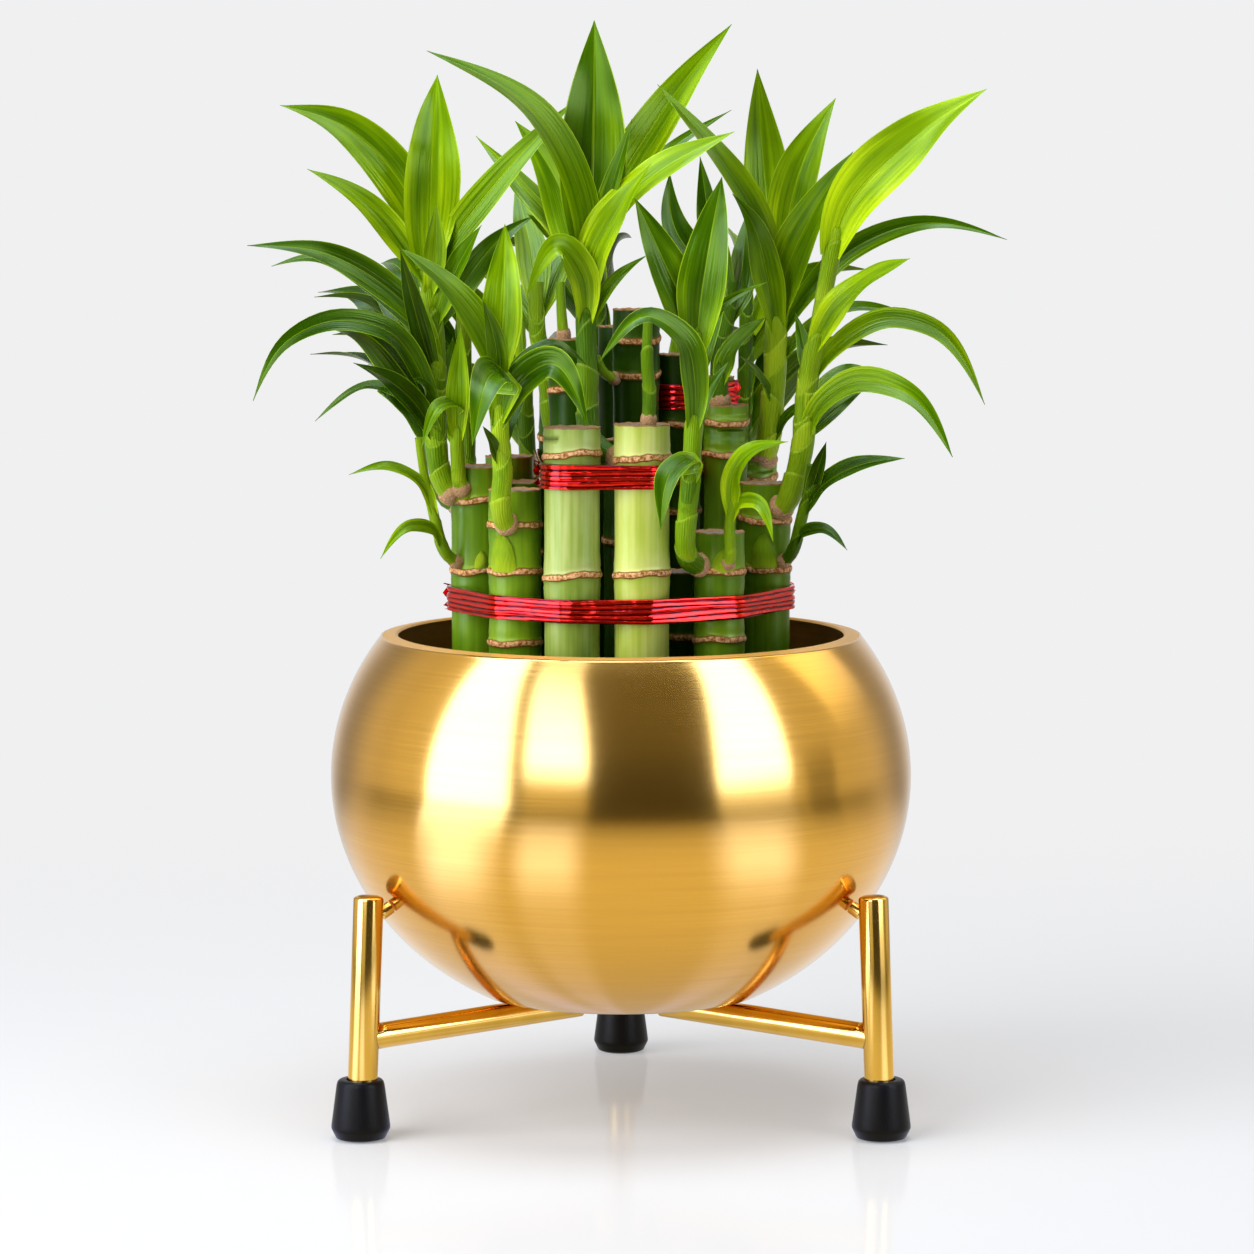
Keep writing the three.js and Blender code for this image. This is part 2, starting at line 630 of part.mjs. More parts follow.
// A blade: a thin, creased strip with a sharp tip, along a path, its face towards `facing`.
function bladeSolid(width, points, facing) {
  const curve = curveThrough(points);
  const length = points[0].distanceTo(points[points.length - 1]);
  const pieces = Math.min(5, 3 + Math.floor(length / 22));
  const crease = 0.22;
  const rings = [];
  for (let i = 0; i < pieces; i++) {
    const share = i / pieces;
    const centre = curve(share);
    const tangent = tangentAt(curve, share);
    const side = tangent.clone().cross(facing).normalize();
    const face = side.clone().cross(tangent);
    const half = (width / 2) * leafOutline(share);
    const thick = Math.max(0.45, 0.8 - 0.5 * share);
    rings.push([
      centre.clone().addScaledVector(side, -half).addScaledVector(face, crease * half),
      centre.clone().addScaledVector(face, thick),
      centre.clone().addScaledVector(side, half).addScaledVector(face, crease * half),
      centre.clone().addScaledVector(face, -thick),
    ]);
  }
  return pointed(rings, curve(1));
}

// A closed tube through rings of equal corner count, with a flat start and a sharp tip.
function pointed(rings, tip) {
  const count = rings[0].length;
  const corners = rings.flat();
  const triangles = [];
  for (let i = 0; i + 1 < rings.length; i++) {
    for (let j = 0; j < count; j++) {
      const here = i * count + j;
      const next = i * count + ((j + 1) % count);
      if (j % 2 === 0) triangles.push([here, next, next + count], [here, next + count, here + count]);
      else triangles.push([here, next, here + count], [next, next + count, here + count]);
    }
  }
  const last = (rings.length - 1) * count;
  for (let j = 1; j + 1 < count; j++) triangles.push([0, j + 1, j]);
  for (let j = 0; j < count; j++) triangles.push([last + j, last + ((j + 1) % count), corners.length]);
  return solidOf(geometryOf([...corners, tip], triangles));
}

// A stem, thicker at its foot.
function stemSolid(points, radius) {
  const sides = radius > 2 ? 6 : 5;
  return sweep(points, (share) => radius * (1.12 - 0.35 * share), sides, points.length);
}

// The shoots at the back. Each leaves its cane outwards and then rises, with its leaves set round it in
// turn, by the golden angle.
const backShoots = [
  { cane: "back_far_left", foot: 157, rise: 42, leaves: 5, start: 4 },
  { cane: "back_left", foot: 142, rise: 66, leaves: 6, start: 4 },
  { cane: "back_mid_left", foot: 154, rise: 40, leaves: 5, start: 15 },
  { cane: "back_middle", foot: 144, rise: 72, leaves: 6, start: 2 },
  { cane: "back_mid_right", foot: 156, rise: 42, leaves: 5, start: 5 },
  { cane: "back_right", foot: 143, rise: 68, leaves: 6, start: 8 },
];
const goldenTurn = 137.5;
const leafSpread = 58;

function part01(value) {
  return value - Math.floor(value);
}

function outward(cane) {
  return vector(cane.x, cane.y, 0).normalize();
}

function backStem({ foot, rise }, cane) {
  const away = outward(cane);
  const point = (reach, up) => vector(cane.x, cane.y, foot + up).addScaledVector(away, reach);
  return [point(cane.radius - 2, 0), point(cane.radius + 3, 1), point(cane.radius + 6, 8),
    point(cane.radius + 8, rise / 2), point(cane.radius + 9, rise)];
}

function backLeaves({ leaves, start }, cane, stem) {
  const away = outward(cane);
  const curve = curveThrough(stem);
  return Array.from({ length: leaves }, (_, k) => {
    const share = 0.45 + (0.5 * k) / (leaves - 1);
    const spread = leafSpread * (2 * part01(((start + k) * goldenTurn) / 360) - 1);
    const heading = away.clone().applyAxisAngle(vector(0, 0, 1), THREE.MathUtils.degToRad(spread));
    const length = 30 + 13 * part01((start + 2 * k) * 0.618);
    const root = curve(share);
    const point = (reach, up) =>
      root.clone().addScaledVector(heading, reach * length).add(vector(0, 0, up * length));
    const path = [root, point(0.18, 0.28), point(0.5, 0.58), point(0.9, 0.62)];
    return { width: 0.24 * length, path };
  });
}

// The ribbons, each with the canes that it ties
const ribbons = [
  {
    name: "ribbon_lower",
    round: Object.keys(canes).filter((name) => /^(front|back)_/.test(name)),
    bottom: 131.3,
    top: 137.5,
    sides: 30,
  },
  {
    name: "ribbon_upper",
    round: ["front_mid_left", "front_mid_right", "tall_left", "tall_centre", "tall_back_left",
      "tall_back_right", "tall_back"],
    bottom: 164.8,
    top: 171.1,
    sides: 28,
  },
  { name: "ribbon_top", round: ["tall_back_right", "back_right"], bottom: 181.5, top: 188.3, sides: 20 },
];

// A foil ribbon: a thin band drawn tight round a group of canes.
function makeRibbon({ name, round, bottom, top, sides }) {
  const tied = round.map((key) => canes[key]);
  const rings = [];
  for (let i = 0; i < sides; i++) {
    const turn = (2 * Math.PI * i) / sides;
    const away = vector(Math.cos(turn), Math.sin(turn), 0);
    const reach = (cane) => cane.x * away.x + cane.y * away.y + cane.radius;
    const cane = tied.reduce((a, b) => (reach(b) > reach(a) ? b : a));
    const corner = (distance, height) =>
      vector(cane.x, cane.y, height).addScaledVector(away, cane.radius + distance);
    const inner = ribbonClearance;
    const outer = inner + ribbonThickness;
    rings.push([corner(inner, bottom), corner(inner, top), corner(outer, top), corner(outer, bottom)]);
  }
  place(name, "foil", loop(rings));
}

// A closed band through rings of equal corner count, the last joined to the first.
function loop(rings) {
  const count = rings[0].length;
  const triangles = [];
  for (let i = 0; i < rings.length; i++) {
    for (let j = 0; j < count; j++) {
      const here = i * count + j;
      const next = i * count + ((j + 1) % count);
      const ahead = ((i + 1) % rings.length) * count - i * count;
      triangles.push([here, next, next + ahead], [here, next + ahead, here + ahead]);
    }
  }
  return solidOf(geometryOf(rings.flat(), triangles));
}

makeBowl();
makeFill(Object.values(canes));
makeStand();
for (const [name, cane] of Object.entries(canes)) {
  let plant = caneSolid(cane);
  for (const shoot of frontShoots.filter((shoot) => shoot.cane === name)) {
    plant = plant.add(stemSolid(shoot.stem.map(seen), shoot.radius));
    for (const [width, ...path] of shoot.leaves) {
      plant = plant.add(bladeSolid(width, path.map(seen), frontFacing));
    }
  }
  for (const shoot of backShoots.filter((shoot) => shoot.cane === name)) {
    const stem = backStem(shoot, cane);
    const facing = outward(cane).multiplyScalar(0.7).add(vector(0, 0, 0.7));
    plant = plant.add(stemSolid(stem, 2.4));
    for (const { width, path } of backLeaves(shoot, cane, stem)) {
      plant = plant.add(bladeSolid(width, path, facing));
    }
  }
  place("cane_" + name, "leaf", plant);
}
ribbons.forEach(makeRibbon);

const middle = new THREE.Box3().setFromObject(part).getCenter(vector(0, 0, 0));
part.position.set(-middle.x, -middle.y, 0);

export default part;
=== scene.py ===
"""Lucky bamboo tower in a brushed gold bowl on a three-legged tube stand: the finished surfaces."""

import math
from collections import namedtuple

import bpy
import numpy as np
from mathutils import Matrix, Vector


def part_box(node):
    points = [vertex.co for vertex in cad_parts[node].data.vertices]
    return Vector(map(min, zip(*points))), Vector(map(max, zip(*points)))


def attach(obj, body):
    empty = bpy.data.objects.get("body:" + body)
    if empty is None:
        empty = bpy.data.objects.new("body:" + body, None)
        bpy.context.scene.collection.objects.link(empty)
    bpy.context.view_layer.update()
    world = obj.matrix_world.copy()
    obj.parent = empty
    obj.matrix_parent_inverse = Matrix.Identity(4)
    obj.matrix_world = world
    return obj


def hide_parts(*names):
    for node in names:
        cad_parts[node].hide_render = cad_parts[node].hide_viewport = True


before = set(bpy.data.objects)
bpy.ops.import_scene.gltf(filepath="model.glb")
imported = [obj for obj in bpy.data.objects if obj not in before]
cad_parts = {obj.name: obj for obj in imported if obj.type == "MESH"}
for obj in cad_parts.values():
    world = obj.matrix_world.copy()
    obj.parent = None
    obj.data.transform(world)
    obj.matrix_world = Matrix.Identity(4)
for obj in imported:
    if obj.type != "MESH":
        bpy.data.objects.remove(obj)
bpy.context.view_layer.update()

# The bowl's axis, in metres. The object is laid out round it in millimetres, and the studio in metres.
MM = 0.001
bowl_low, bowl_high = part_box("bowl")
axis_x = (bowl_low[0] + bowl_high[0]) / 2
axis_y = (bowl_low[1] + bowl_high[1]) / 2

# Sizes of the bowl, its fill and the stand
BOWL_RADIUS = 75.0
BOWL_HALF_HEIGHT = 64.5
BOWL_CENTRE_Z = 87.8
BOWL_BOTTOM_Z = 31.0
RIM_Z = 124.8
WALL = 3.0
LIP_DROP = 0.5
FILL_RADIUS = 62.0
FILL_TOP_Z = 112.5
SOCKET_BOTTOM_Z = 72.0
FOOT_REACH = 76.0
FOOT_HEIGHT = 15.3
LEG_TOP_REACH = 73.4
LEG_TOP_Z = 62.0
LEG_BOTTOM_Z = 4.2
LEG_RADIUS = 3.8
RAIL_RADIUS = 3.3
RAIL_OUTER_Z = 25.7
RAIL_INNER_Z = 28.6
RAIL_INNER_REACH = 12.5
HUB_RADIUS = 11.5
HUB_BOTTOM_Z = 26.6
STAND_TOP_Z = BOWL_BOTTOM_Z - 0.35
STUD_RADIUS = 1.7
STUD_LEG_Z = 57.0
STUD_BOWL_Z = 58.5
LEG_AZIMUTHS = {"right": -30, "left": 210, "back": 90}
# The smallest radius of a turned surface, in the place of a point on its axis
AT_AXIS = 0.01

# The eye that the plants are laid out from. A point is written as it is seen from there: across and up
# where its line of sight meets the bowl's middle plane, and then its own depth, towards the back.
EYE_DISTANCE = 1200.0
EYE_Z = 253.9

CANE_WAIST = 0.97
CANE_FLARE = 0.03
JOINT_WAVE = 0.9
JOINT_BULGE = 0.4
SCAR_RIDGE = 0.32
SCAR_GROOVE = 0.15
RIBBON_CLEARANCE = 0.4
RIBBON_THICKNESS = 1.0
RIBBON_STRANDS = 5.0
PEBBLE_RISE = 0.6
LEAF_WIDEST = 0.4
LEAF_ROOT_WIDTH = 0.35
LEAF_TWIST = 0.35
LEAF_CREASE = 0.22
LEAF_RUFFLE = 0.12
LEAF_CURL = 0.10
LEAF_ROOT_CURL = 0.75
LEAF_TIP_HALF = 0.08
GOLDEN_TURN = 137.5
GOLDEN_SHARE = 0.618
BACK_LEAF_SPREAD = 58.0
BACK_STEM_RADIUS = 2.4
STEM_GIRTH = 1.06
STEM_TAPER = 0.34
STEM_PALER = 0.12
SHEATH_LENGTH = 12.0
COLLAR_LENGTH = 3.0
CRISP_CORNER = math.radians(32)
UP = np.array([0.0, 0.0, 1.0])
FRONT_FACING = np.array([0.0, -0.85, 0.53])

# The colours that the skins' gloss takes on
LEAF_SHEEN = (0.9, 1.0, 0.10)
CANE_SHEEN = (1.0, 0.9, 0.3)
WARM_SHEEN = (1.0, 0.8, 0.3)

# The studio: how bright the wall and the floor are, and how far they reach
WALL_GLOW = 0.88
FLOOR_GLOW = 0.24
STUDIO_REACH = 2.2
STUDIO_HEIGHT = 3.0
STUDIO_WHITE = (0.99, 0.99, 1.0)
BLACK = (0.0, 0.0, 0.0)

# The room that the metal mirrors. The edge of a panel is written as where it stands at its foot, in degrees
# to the right of the camera, and how much further it leans at its top. The slit has a half width in the
# same form.
ROOM_REACH = 1.1
SOFTBOX_TINT = (1.0, 1.35, 3.8)
SOFTBOX_STRENGTH = 4.5
POOL_TINT = (0.9, 1.25, 4.2)
LEFT_END = (-79, -19)
SLIT = (-40, -21)
SLIT_HALF_WIDTH = (3, 2.5)
FRONT_LEFT = (-12.5, -13.5)
FRONT_RIGHT = (36.5, 16)
RIGHT_END = (67.5, 18)
PANEL_TOP = 63

# The canes, with the heights of their joints and the tone of their skin. The dark skin is painted shade: the
# canes inside the cluster get a darker, duller skin for the shade that falls between the canes.
Cane = namedtuple("Cane", "x y radius top joints skin")
CANES = {
    "front_far_left": Cane(-37, -6, 6.5, 168.4, [141.9, 160], "green"),
    "front_left": Cane(-26.7, -25, 6.6, 163.9, [124.8, 142.9, 154.6], "green"),
    "front_mid_left": Cane(-12.2, -35, 7.05, 180.2, [142.8, 173.2], "waxy"),
    "front_mid_right": Cane(5.2, -36, 6.95, 181, [143.8, 172.6], "bright"),
    "front_right": Cane(24.7, -26, 6.6, 153.3, [125.9, 143], "green"),
    "front_far_right": Cane(37, -4, 6.5, 164, [141.9, 154.4], "green"),
    "middle_front_right": Cane(15.5, -12.5, 6.3, 142, [126], "dark"),
    "middle_front": Cane(1.5, -17, 6, 176, [150], "dark"),
    "middle_left": Cane(-24.5, 0.5, 6, 164, [145], "dark"),
    "middle_right": Cane(27, 4, 5.6, 183.5, [148, 171, 179], "green"),
    "tall_left": Cane(-12.4, -6, 6, 201, [158, 188], "dark"),
    "tall_centre": Cane(4, 8, 6, 208, [160, 191, 200], "dark"),
    "tall_back_left": Cane(-15.5, 14, 6, 199.5, [152, 174], "dark"),
    "tall_back_right": Cane(14.8, 16, 6, 196, [155, 178], "dark"),
    "tall_back": Cane(0, 22, 6, 203, [162, 190], "dark"),
    "back_far_right": Cane(34.5, 17.5, 6.2, 168.5, [141, 163.8], "green"),
    "back_right": Cane(23.5, 28.2, 6.3, 189.5, [143, 166], "green"),
    "back_mid_right": Cane(10.5, 35.2, 6.5, 166, [140, 156], "green"),
    "back_middle": Cane(-4.2, 36.5, 6.6, 172, [144, 162], "bright"),
    "back_mid_left": Cane(-18.1, 31.9, 6.4, 163, [140, 154], "waxy"),
    "back_left": Cane(-29.2, 22.2, 6.5, 169, [142, 159], "green"),
    "back_far_left": Cane(-35.6, 8.9, 6.3, 166, [145, 157], "green"),
}

# The leafy shoots at the front. Each grows from one cane: its stem's radius and path, and its leaves, each
# as a width and then its path from inside the stem to the tip. All paths are points as seen from the eye.
Shoot = namedtuple("Shoot", "cane radius stem leaves")
FRONT_SHOOTS = [
    Shoot("front_far_left", 2.7, [[-39, 160, -8], [-44, 161, -9], [-46.5, 166, -9], [-47.5, 173, -10],
        [-47.5, 185, -10], [-47.5, 200, -11], [-49, 212, -11], [-49.7, 226, -12]], [
        [12, [-49.5, 222, -12], [-54, 236, -14], [-70, 254, -20], [-87, 260, -26]],
        [14.5, [-49.5, 219, -12], [-49, 232, -16], [-48.5, 245, -18], [-46.8, 267.7, -10]],
        [7, [-49.5, 214, -11], [-53, 220, -13], [-65, 235, -21], [-80.2, 243.8, -28]],
        [5.5, [-49.5, 221, -11], [-55, 231, -4], [-62, 247, 8]],
        [8, [-49, 218, -11], [-45.5, 228, 0], [-43, 247, 13]],
        [6, [-48.8, 212, -12], [-47.5, 222, -20], [-47.3, 235, -31]],
        [8, [-49, 215, -12], [-43, 226, -15], [-33, 239, -19], [-12, 261, -22]],
        [7, [-47.8, 204, -11], [-43, 216, -17], [-35.7, 229.5, -29]],
        [7, [-47.8, 202, -11], [-40, 215, -4], [-31, 226, 3], [-22, 232, 8]],
        [7.5, [-47.5, 195, -11], [-51, 204, -14], [-62, 215, -20], [-75, 222, -26], [-95.7, 224.3, -34]],
        [5.5, [-47.5, 193, -10], [-51, 201, -6], [-65, 214, 1], [-78, 221, 7], [-89.5, 219, 12]],
        [6.5, [-47.5, 180, -10], [-50, 188, -14], [-61, 203, -26], [-75, 204.8, -32], [-86, 199.5, -36],
            [-94.5, 184.5, -38]],
        [6, [-47.5, 190, -10], [-52, 197, -4], [-65, 216, 10]],
        [6, [-47.5, 190, -10], [-50.5, 199, -16], [-56.5, 223, -30]],
        [6.5, [-47.5, 174, -10], [-51, 181, -15], [-58, 188.5, -24], [-68.7, 194.3, -34]],
        [4, [-47.5, 177, -9], [-52, 183, -3], [-65, 188.3, 6], [-78.6, 179.3, 12]],
        [4, [-47.5, 182, -10], [-50.5, 188, -17], [-53.5, 190, -26]],
        [6, [-47.5, 176, -8], [-45.5, 184, -2], [-43, 201, 7]],
    ]),
    Shoot("front_far_left", 2, [[-38, 159, -9], [-41, 162, -12], [-42, 170, -14], [-42, 181, -15]], [
        [4.5, [-42, 176, -14], [-41, 183, -17], [-46, 183.5, -23], [-51.2, 172.5, -30]],
        [6, [-42, 174, -14], [-42, 184, -19], [-41, 203.5, -26]],
    ]),
    Shoot("front_far_left", 1.5, [[-39, 142, -8], [-45, 145, -13], [-47, 150, -15], [-48.5, 157, -17],
        [-50.5, 165, -19], [-52, 175, -21]], [
        [4, [-48, 155, -17], [-51, 162.5, -20], [-60, 167.5, -25], [-70, 165.5, -29]],
        [3.5, [-46.5, 147, -14], [-49, 151.5, -20], [-55, 152, -26], [-62, 143.8, -32]],
    ]),
    Shoot("front_left", 2.5, [[-28, 152, -28], [-30.3, 154, -34], [-31, 160, -38], [-30.5, 165, -39],
        [-31, 175, -40], [-31.5, 190, -42], [-31, 198, -43]], [
        [10.5, [-31.2, 192, -42], [-30, 212, -46], [-29.7, 229.8, -43]],
        [8, [-31.5, 188, -42], [-33, 196, -45], [-43.5, 213, -53], [-56.7, 223.7, -60]],
        [5.5, [-31.5, 186, -42], [-32, 197, -50], [-35.5, 210.5, -62]],
        [10, [-31.3, 180, -41], [-30, 189, -48], [-33.5, 191, -60], [-38.2, 173, -74]],
        [9, [-31.3, 178, -41], [-27, 188, -44], [-18, 194, -50], [-8.5, 178, -57]],
        [4.5, [-31.5, 182, -41], [-27, 192, -37], [-18, 199, -33], [-9, 194, -29]],
        [3.5, [-31, 168, -40], [-33, 173, -43], [-35.5, 178, -48]],
        [4, [-31, 170, -40], [-29, 178, -37], [-22.5, 191, -32]],
    ]),
    Shoot("front_mid_right", 2.8, [[1, 169.5, -33], [-4.2, 171, -28], [-7.6, 174.5, -25],
        [-8.5, 179, -23], [-8.5, 190, -21], [-9, 205, -20], [-8.6, 218, -20], [-8, 230, -20]], [
        [17, [-8.3, 222, -20], [-7.6, 236, -23], [-7, 257, -29], [-6.8, 281.5, -25]],
        [5, [-8.2, 223, -20], [-3.5, 236, -27], [2.8, 256.5, -40]],
        [9.5, [-8.6, 218, -20], [-9.5, 233, -27], [-22, 258, -38], [-49.5, 273.8, -46]],
        [11, [-8.7, 213, -20], [-12, 226, -15], [-16, 240, -8], [-27, 256, 0]],
        [11, [-8.3, 221, -20], [-2, 238, -13], [11, 259, -5], [28.2, 280.5, 4]],
        [11, [-8.6, 214, -20], [-5, 227, -27], [6, 240, -36], [29, 253.3, -45]],
        [8, [-8.8, 208, -20], [-7, 221, -27], [-1, 233, -36], [7.8, 245.2, -46]],
        [7, [-8.8, 212, -20], [-15, 227, -12], [-26, 240, -4], [-37, 252.2, 3]],
        [8, [-9, 204, -20], [-10, 217, -27], [-16, 224, -33], [-24.3, 211.3, -36]],
        [7, [-8.8, 210, -20], [-13, 222, -14], [-24, 232.4, -6]],
        [5, [-8.7, 215, -19], [0, 236, -7], [13, 249, 3], [28.2, 258.8, 11]],
        [3.5, [-9, 202, -20], [-3, 214, -24], [7, 222, -30]],
    ]),
    Shoot("front_mid_right", 1.7, [[6.7, 176, -36], [7.3, 186, -36], [6.7, 195, -36], [7, 206, -36]], []),
    Shoot("tall_left", 1.6, [[-14, 196, -6], [-15, 204, -7], [-15.5, 215, -7]], []),
    Shoot("tall_back_left", 2.5, [[-15.5, 173, 12], [-17.5, 178, 6.5], [-19, 190, 4], [-21.5, 203, 4],
        [-21.5, 215, 5]], [
        [9, [-21.5, 207, 4.5], [-23, 222, 17], [-27, 240, 34]],
        [8, [-21.6, 204, 4], [-16, 219, 17], [-8, 232, 31]],
        [7, [-21.2, 200, 4], [-27, 210, 14], [-40, 222, 26]],
    ]),
    Shoot("tall_centre", 1.5, [[0, 190, 6], [-4, 191.5, 3], [-6.3, 196, 2]], []),
    Shoot("front_right", 2.5, [[21.5, 142, -29], [17.3, 143.8, -36], [16.6, 148, -40], [17, 155, -43],
        [18, 165, -45], [18.5, 175, -46], [19.5, 188, -47], [19.5, 206, -49]], [
        [11, [19.5, 197, -48], [17.5, 205, -50], [11.5, 219, -54], [3.5, 236.5, -58]],
        [12, [19.5, 198, -48], [20, 206, -51], [22.3, 222, -55], [25.8, 241.8, -50]],
        [7.5, [18.6, 177, -46], [19, 188, -52], [16, 200, -57], [7, 206, -60], [-5.5, 194.5, -64]],
        [7, [19.5, 189, -47], [21, 198, -43], [27, 213.7, -34]],
        [7, [18, 164, -45], [17.5, 169, -51], [13, 166, -57], [10.2, 151.2, -62]],
        [4.5, [18.2, 167, -45], [21, 184, -40], [27.5, 194.4, -33]],
        [3.5, [19.5, 188, -47], [24, 207, -49], [37.5, 215, -52]],
    ]),
    Shoot("back_far_right", 3.1, [[34, 165, 17.5], [37, 171, 14], [38.3, 178, 12], [39.3, 188, 10],
        [40, 205, 8], [41.3, 216, 8], [42, 229, 8]], [
        [12, [41.5, 219, 8], [38, 231, 13], [36.2, 248, 15], [34.8, 269.2, 10]],
        [12, [41.6, 220, 8], [42.5, 230, 4], [46, 244, -1], [54.8, 261.8, -5]],
        [11, [40.5, 207, 8], [43, 219, 0], [49.5, 233, -11], [59.3, 248.2, -22]],
        [8.5, [40.5, 213, 8], [35.5, 230, -5], [24, 248, -18], [9.3, 265.3, -25]],
        [8, [40, 202, 8], [37.5, 217, -1], [34, 229, -9], [28.5, 237.5, -17]],
        [3.5, [39.5, 183, 10], [36, 190, 4], [30.3, 196.2, -4]],
        [4, [38.2, 173, 12], [43, 180.5, 7], [49.8, 185.5, 2]],
        [6, [39.8, 199, 8], [47, 211, 9], [58, 222.5, 10], [78, 230, 12], [98.8, 225.8, 12]],
        [4, [39.8, 192, 9], [45, 200, 9], [57, 208, 8], [79, 204, 8]],
    ]),
    Shoot("front_far_right", 2.8, [[39, 156.5, -6], [42.3, 158, -11], [45, 165, -13], [46.6, 172, -14],
        [47.3, 182, -14], [48, 190, -14], [50, 200, -15], [53, 217, -15], [55.5, 229, -16]], [
        [14, [54, 222, -15], [58, 234, -19], [73, 250, -28], [93.3, 264.1, -38]],
        [9, [49.8, 198, -15], [54, 206, -20], [63, 215, -28], [74, 221, -38]],
        [6, [48, 188, -14], [53, 196, -13], [68, 205.5, -10], [80, 203, -7], [93.5, 183.5, -3]],
        [7.5, [47.3, 175, -14], [51, 183, -18], [61, 189.3, -24], [74, 186, -30], [85.3, 170, -34]],
        [5, [47.5, 181, -14], [52, 187.5, -11], [57.5, 192, -7], [66.3, 191.3, -3]],
        [4.5, [47, 174, -14], [52, 180, -10], [62.8, 187.7, -3]],
        [4, [48.3, 189, -14], [47.5, 196, -10], [44.7, 207, -4]],
    ]),
    Shoot("front_far_right", 1.6, [[39, 142, -6], [43.5, 144.5, -11], [46, 152, -15], [47.8, 160, -17],
        [49, 168, -19]], [
        [6.5, [47.5, 156, -16], [50.5, 161, -20], [60, 167.3, -28], [73, 169.7, -36]],
        [3.5, [45, 147, -13], [47, 150.5, -17], [52, 151.5, -22], [58.3, 146, -29]],
        [4, [47.8, 158, -17], [50.5, 166, -21], [52.8, 174, -27]],
    ]),
    Shoot("front_right", 1.5, [[26.5, 141, -29], [28.2, 144.5, -35], [28, 152, -37], [28.7, 159, -38],
        [29.5, 165, -39]], [
        [6, [28.3, 155, -37], [29, 165, -43], [33, 171, -49], [43, 174, -57]],
        [4, [28.1, 153, -37], [30.5, 158, -40], [35, 158.3, -45], [39.2, 148.3, -51]],
    ]),
    Shoot("middle_right", 2.4, [[26.3, 179, 4], [25.2, 187, 4], [25.2, 195, 5], [27, 205, 6],
        [29, 215, 7]], [
        [9, [27.5, 207, 6], [21, 218, 14], [14, 228, 19], [12.5, 243, 26]],
        [7, [28.2, 211, 7], [24, 225, 14], [20.2, 247, 21]],
        [8, [27, 203, 6], [30.5, 216, 15], [32, 232, 26]],
        [6, [25.2, 188, 4], [28, 197, 2], [37.2, 206, -2]],
    ]),
]

# The shoots at the back, which rise outwards from their canes
BackShoot = namedtuple("BackShoot", "cane foot rise leaves start")
BACK_SHOOTS = [
    BackShoot("back_far_left", 157, 42, 5, 4),
    BackShoot("back_left", 142, 66, 6, 4),
    BackShoot("back_mid_left", 154, 40, 5, 15),
    BackShoot("back_middle", 144, 72, 6, 2),
    BackShoot("back_mid_right", 156, 42, 5, 5),
    BackShoot("back_right", 143, 68, 6, 8),
]

# How much paler than the others the shoots of a cane are
PALER = {"back_far_right": 0.25, "front_right": 0.04}

# Scales that hug their canes above a joint: azimuth, foot, height, width and tone
BUDS = {
    "front_left": (-120, 143.2, 10.5, 8.5, 0.75),
    "front_far_left": (-78, 142.4, 4.5, 4.0, 0.95),
    "front_right": (-80, 143.3, 6.0, 7.0, 0.8),
    "front_far_right": (-95, 142.3, 9.0, 8.0, 0.6),
    "back_far_right": (-60, 142.0, 8.0, 7.0, 0.4),
    "back_left": (100, 142.8, 9.0, 8.0, 0.5),
}

# The ribbons, each with the canes that it ties and its loose ends, as a place and a size
Ribbon = namedtuple("Ribbon", "name round bottom top ends")
RIBBONS = [
    Ribbon("ribbon_lower", [name for name in CANES if name.startswith(("front_", "back_"))], 131.3, 137.5,
           [((-44.0, -2.0), 3.0), ((44.0, 2.0), 3.0)]),
    Ribbon("ribbon_upper", ["front_mid_left", "front_mid_right", "tall_left", "tall_centre",
                            "tall_back_left", "tall_back_right", "tall_back"], 164.8, 171.1,
           [((-21.0, -30.0), 3.5), ((20.0, -4.0), 3.5)]),
    Ribbon("ribbon_top", ["tall_back_right", "back_right"], 181.5, 188.3, [((29.0, 24.0), 3.0)]),
]

# Geometry helpers


def unit(vectors):
    return vectors / np.maximum(np.linalg.norm(vectors, axis=-1, keepdims=True), 1e-9)


def stacked(*parts):
    """Joins numbers and grids of numbers into a grid of vectors."""
    return np.stack(np.broadcast_arrays(*parts), axis=-1)


def full_turn(count):
    """Angles evenly spaced round a full turn."""
    return np.linspace(0, math.tau, count, endpoint=False)


def ring(x, y, radius, turn, z):
    """Points round an upright line."""
    return stacked(x + radius * np.cos(turn), y + radius * np.sin(turn), z)


def turned_grid(profile, sides):
    """Rows of a turned surface from a profile of [radius, height]."""
    radius, height = np.array(profile, float).T[..., None]
    return ring(0, 0, radius, full_turn(sides), height)


def eased(value, low, high):
    """0 below low and 1 above high, with a smooth step between them."""
    share = np.clip((value - low) / (high - low), 0, 1)
    return share * share * (3 - 2 * share)


def seen(point):
    """Where a point is that is written as it is seen from the eye."""
    across, up, depth = point
    reach = (EYE_DISTANCE + depth) / EYE_DISTANCE
    return np.array([across * reach, depth, EYE_Z + (up - EYE_Z) * reach])


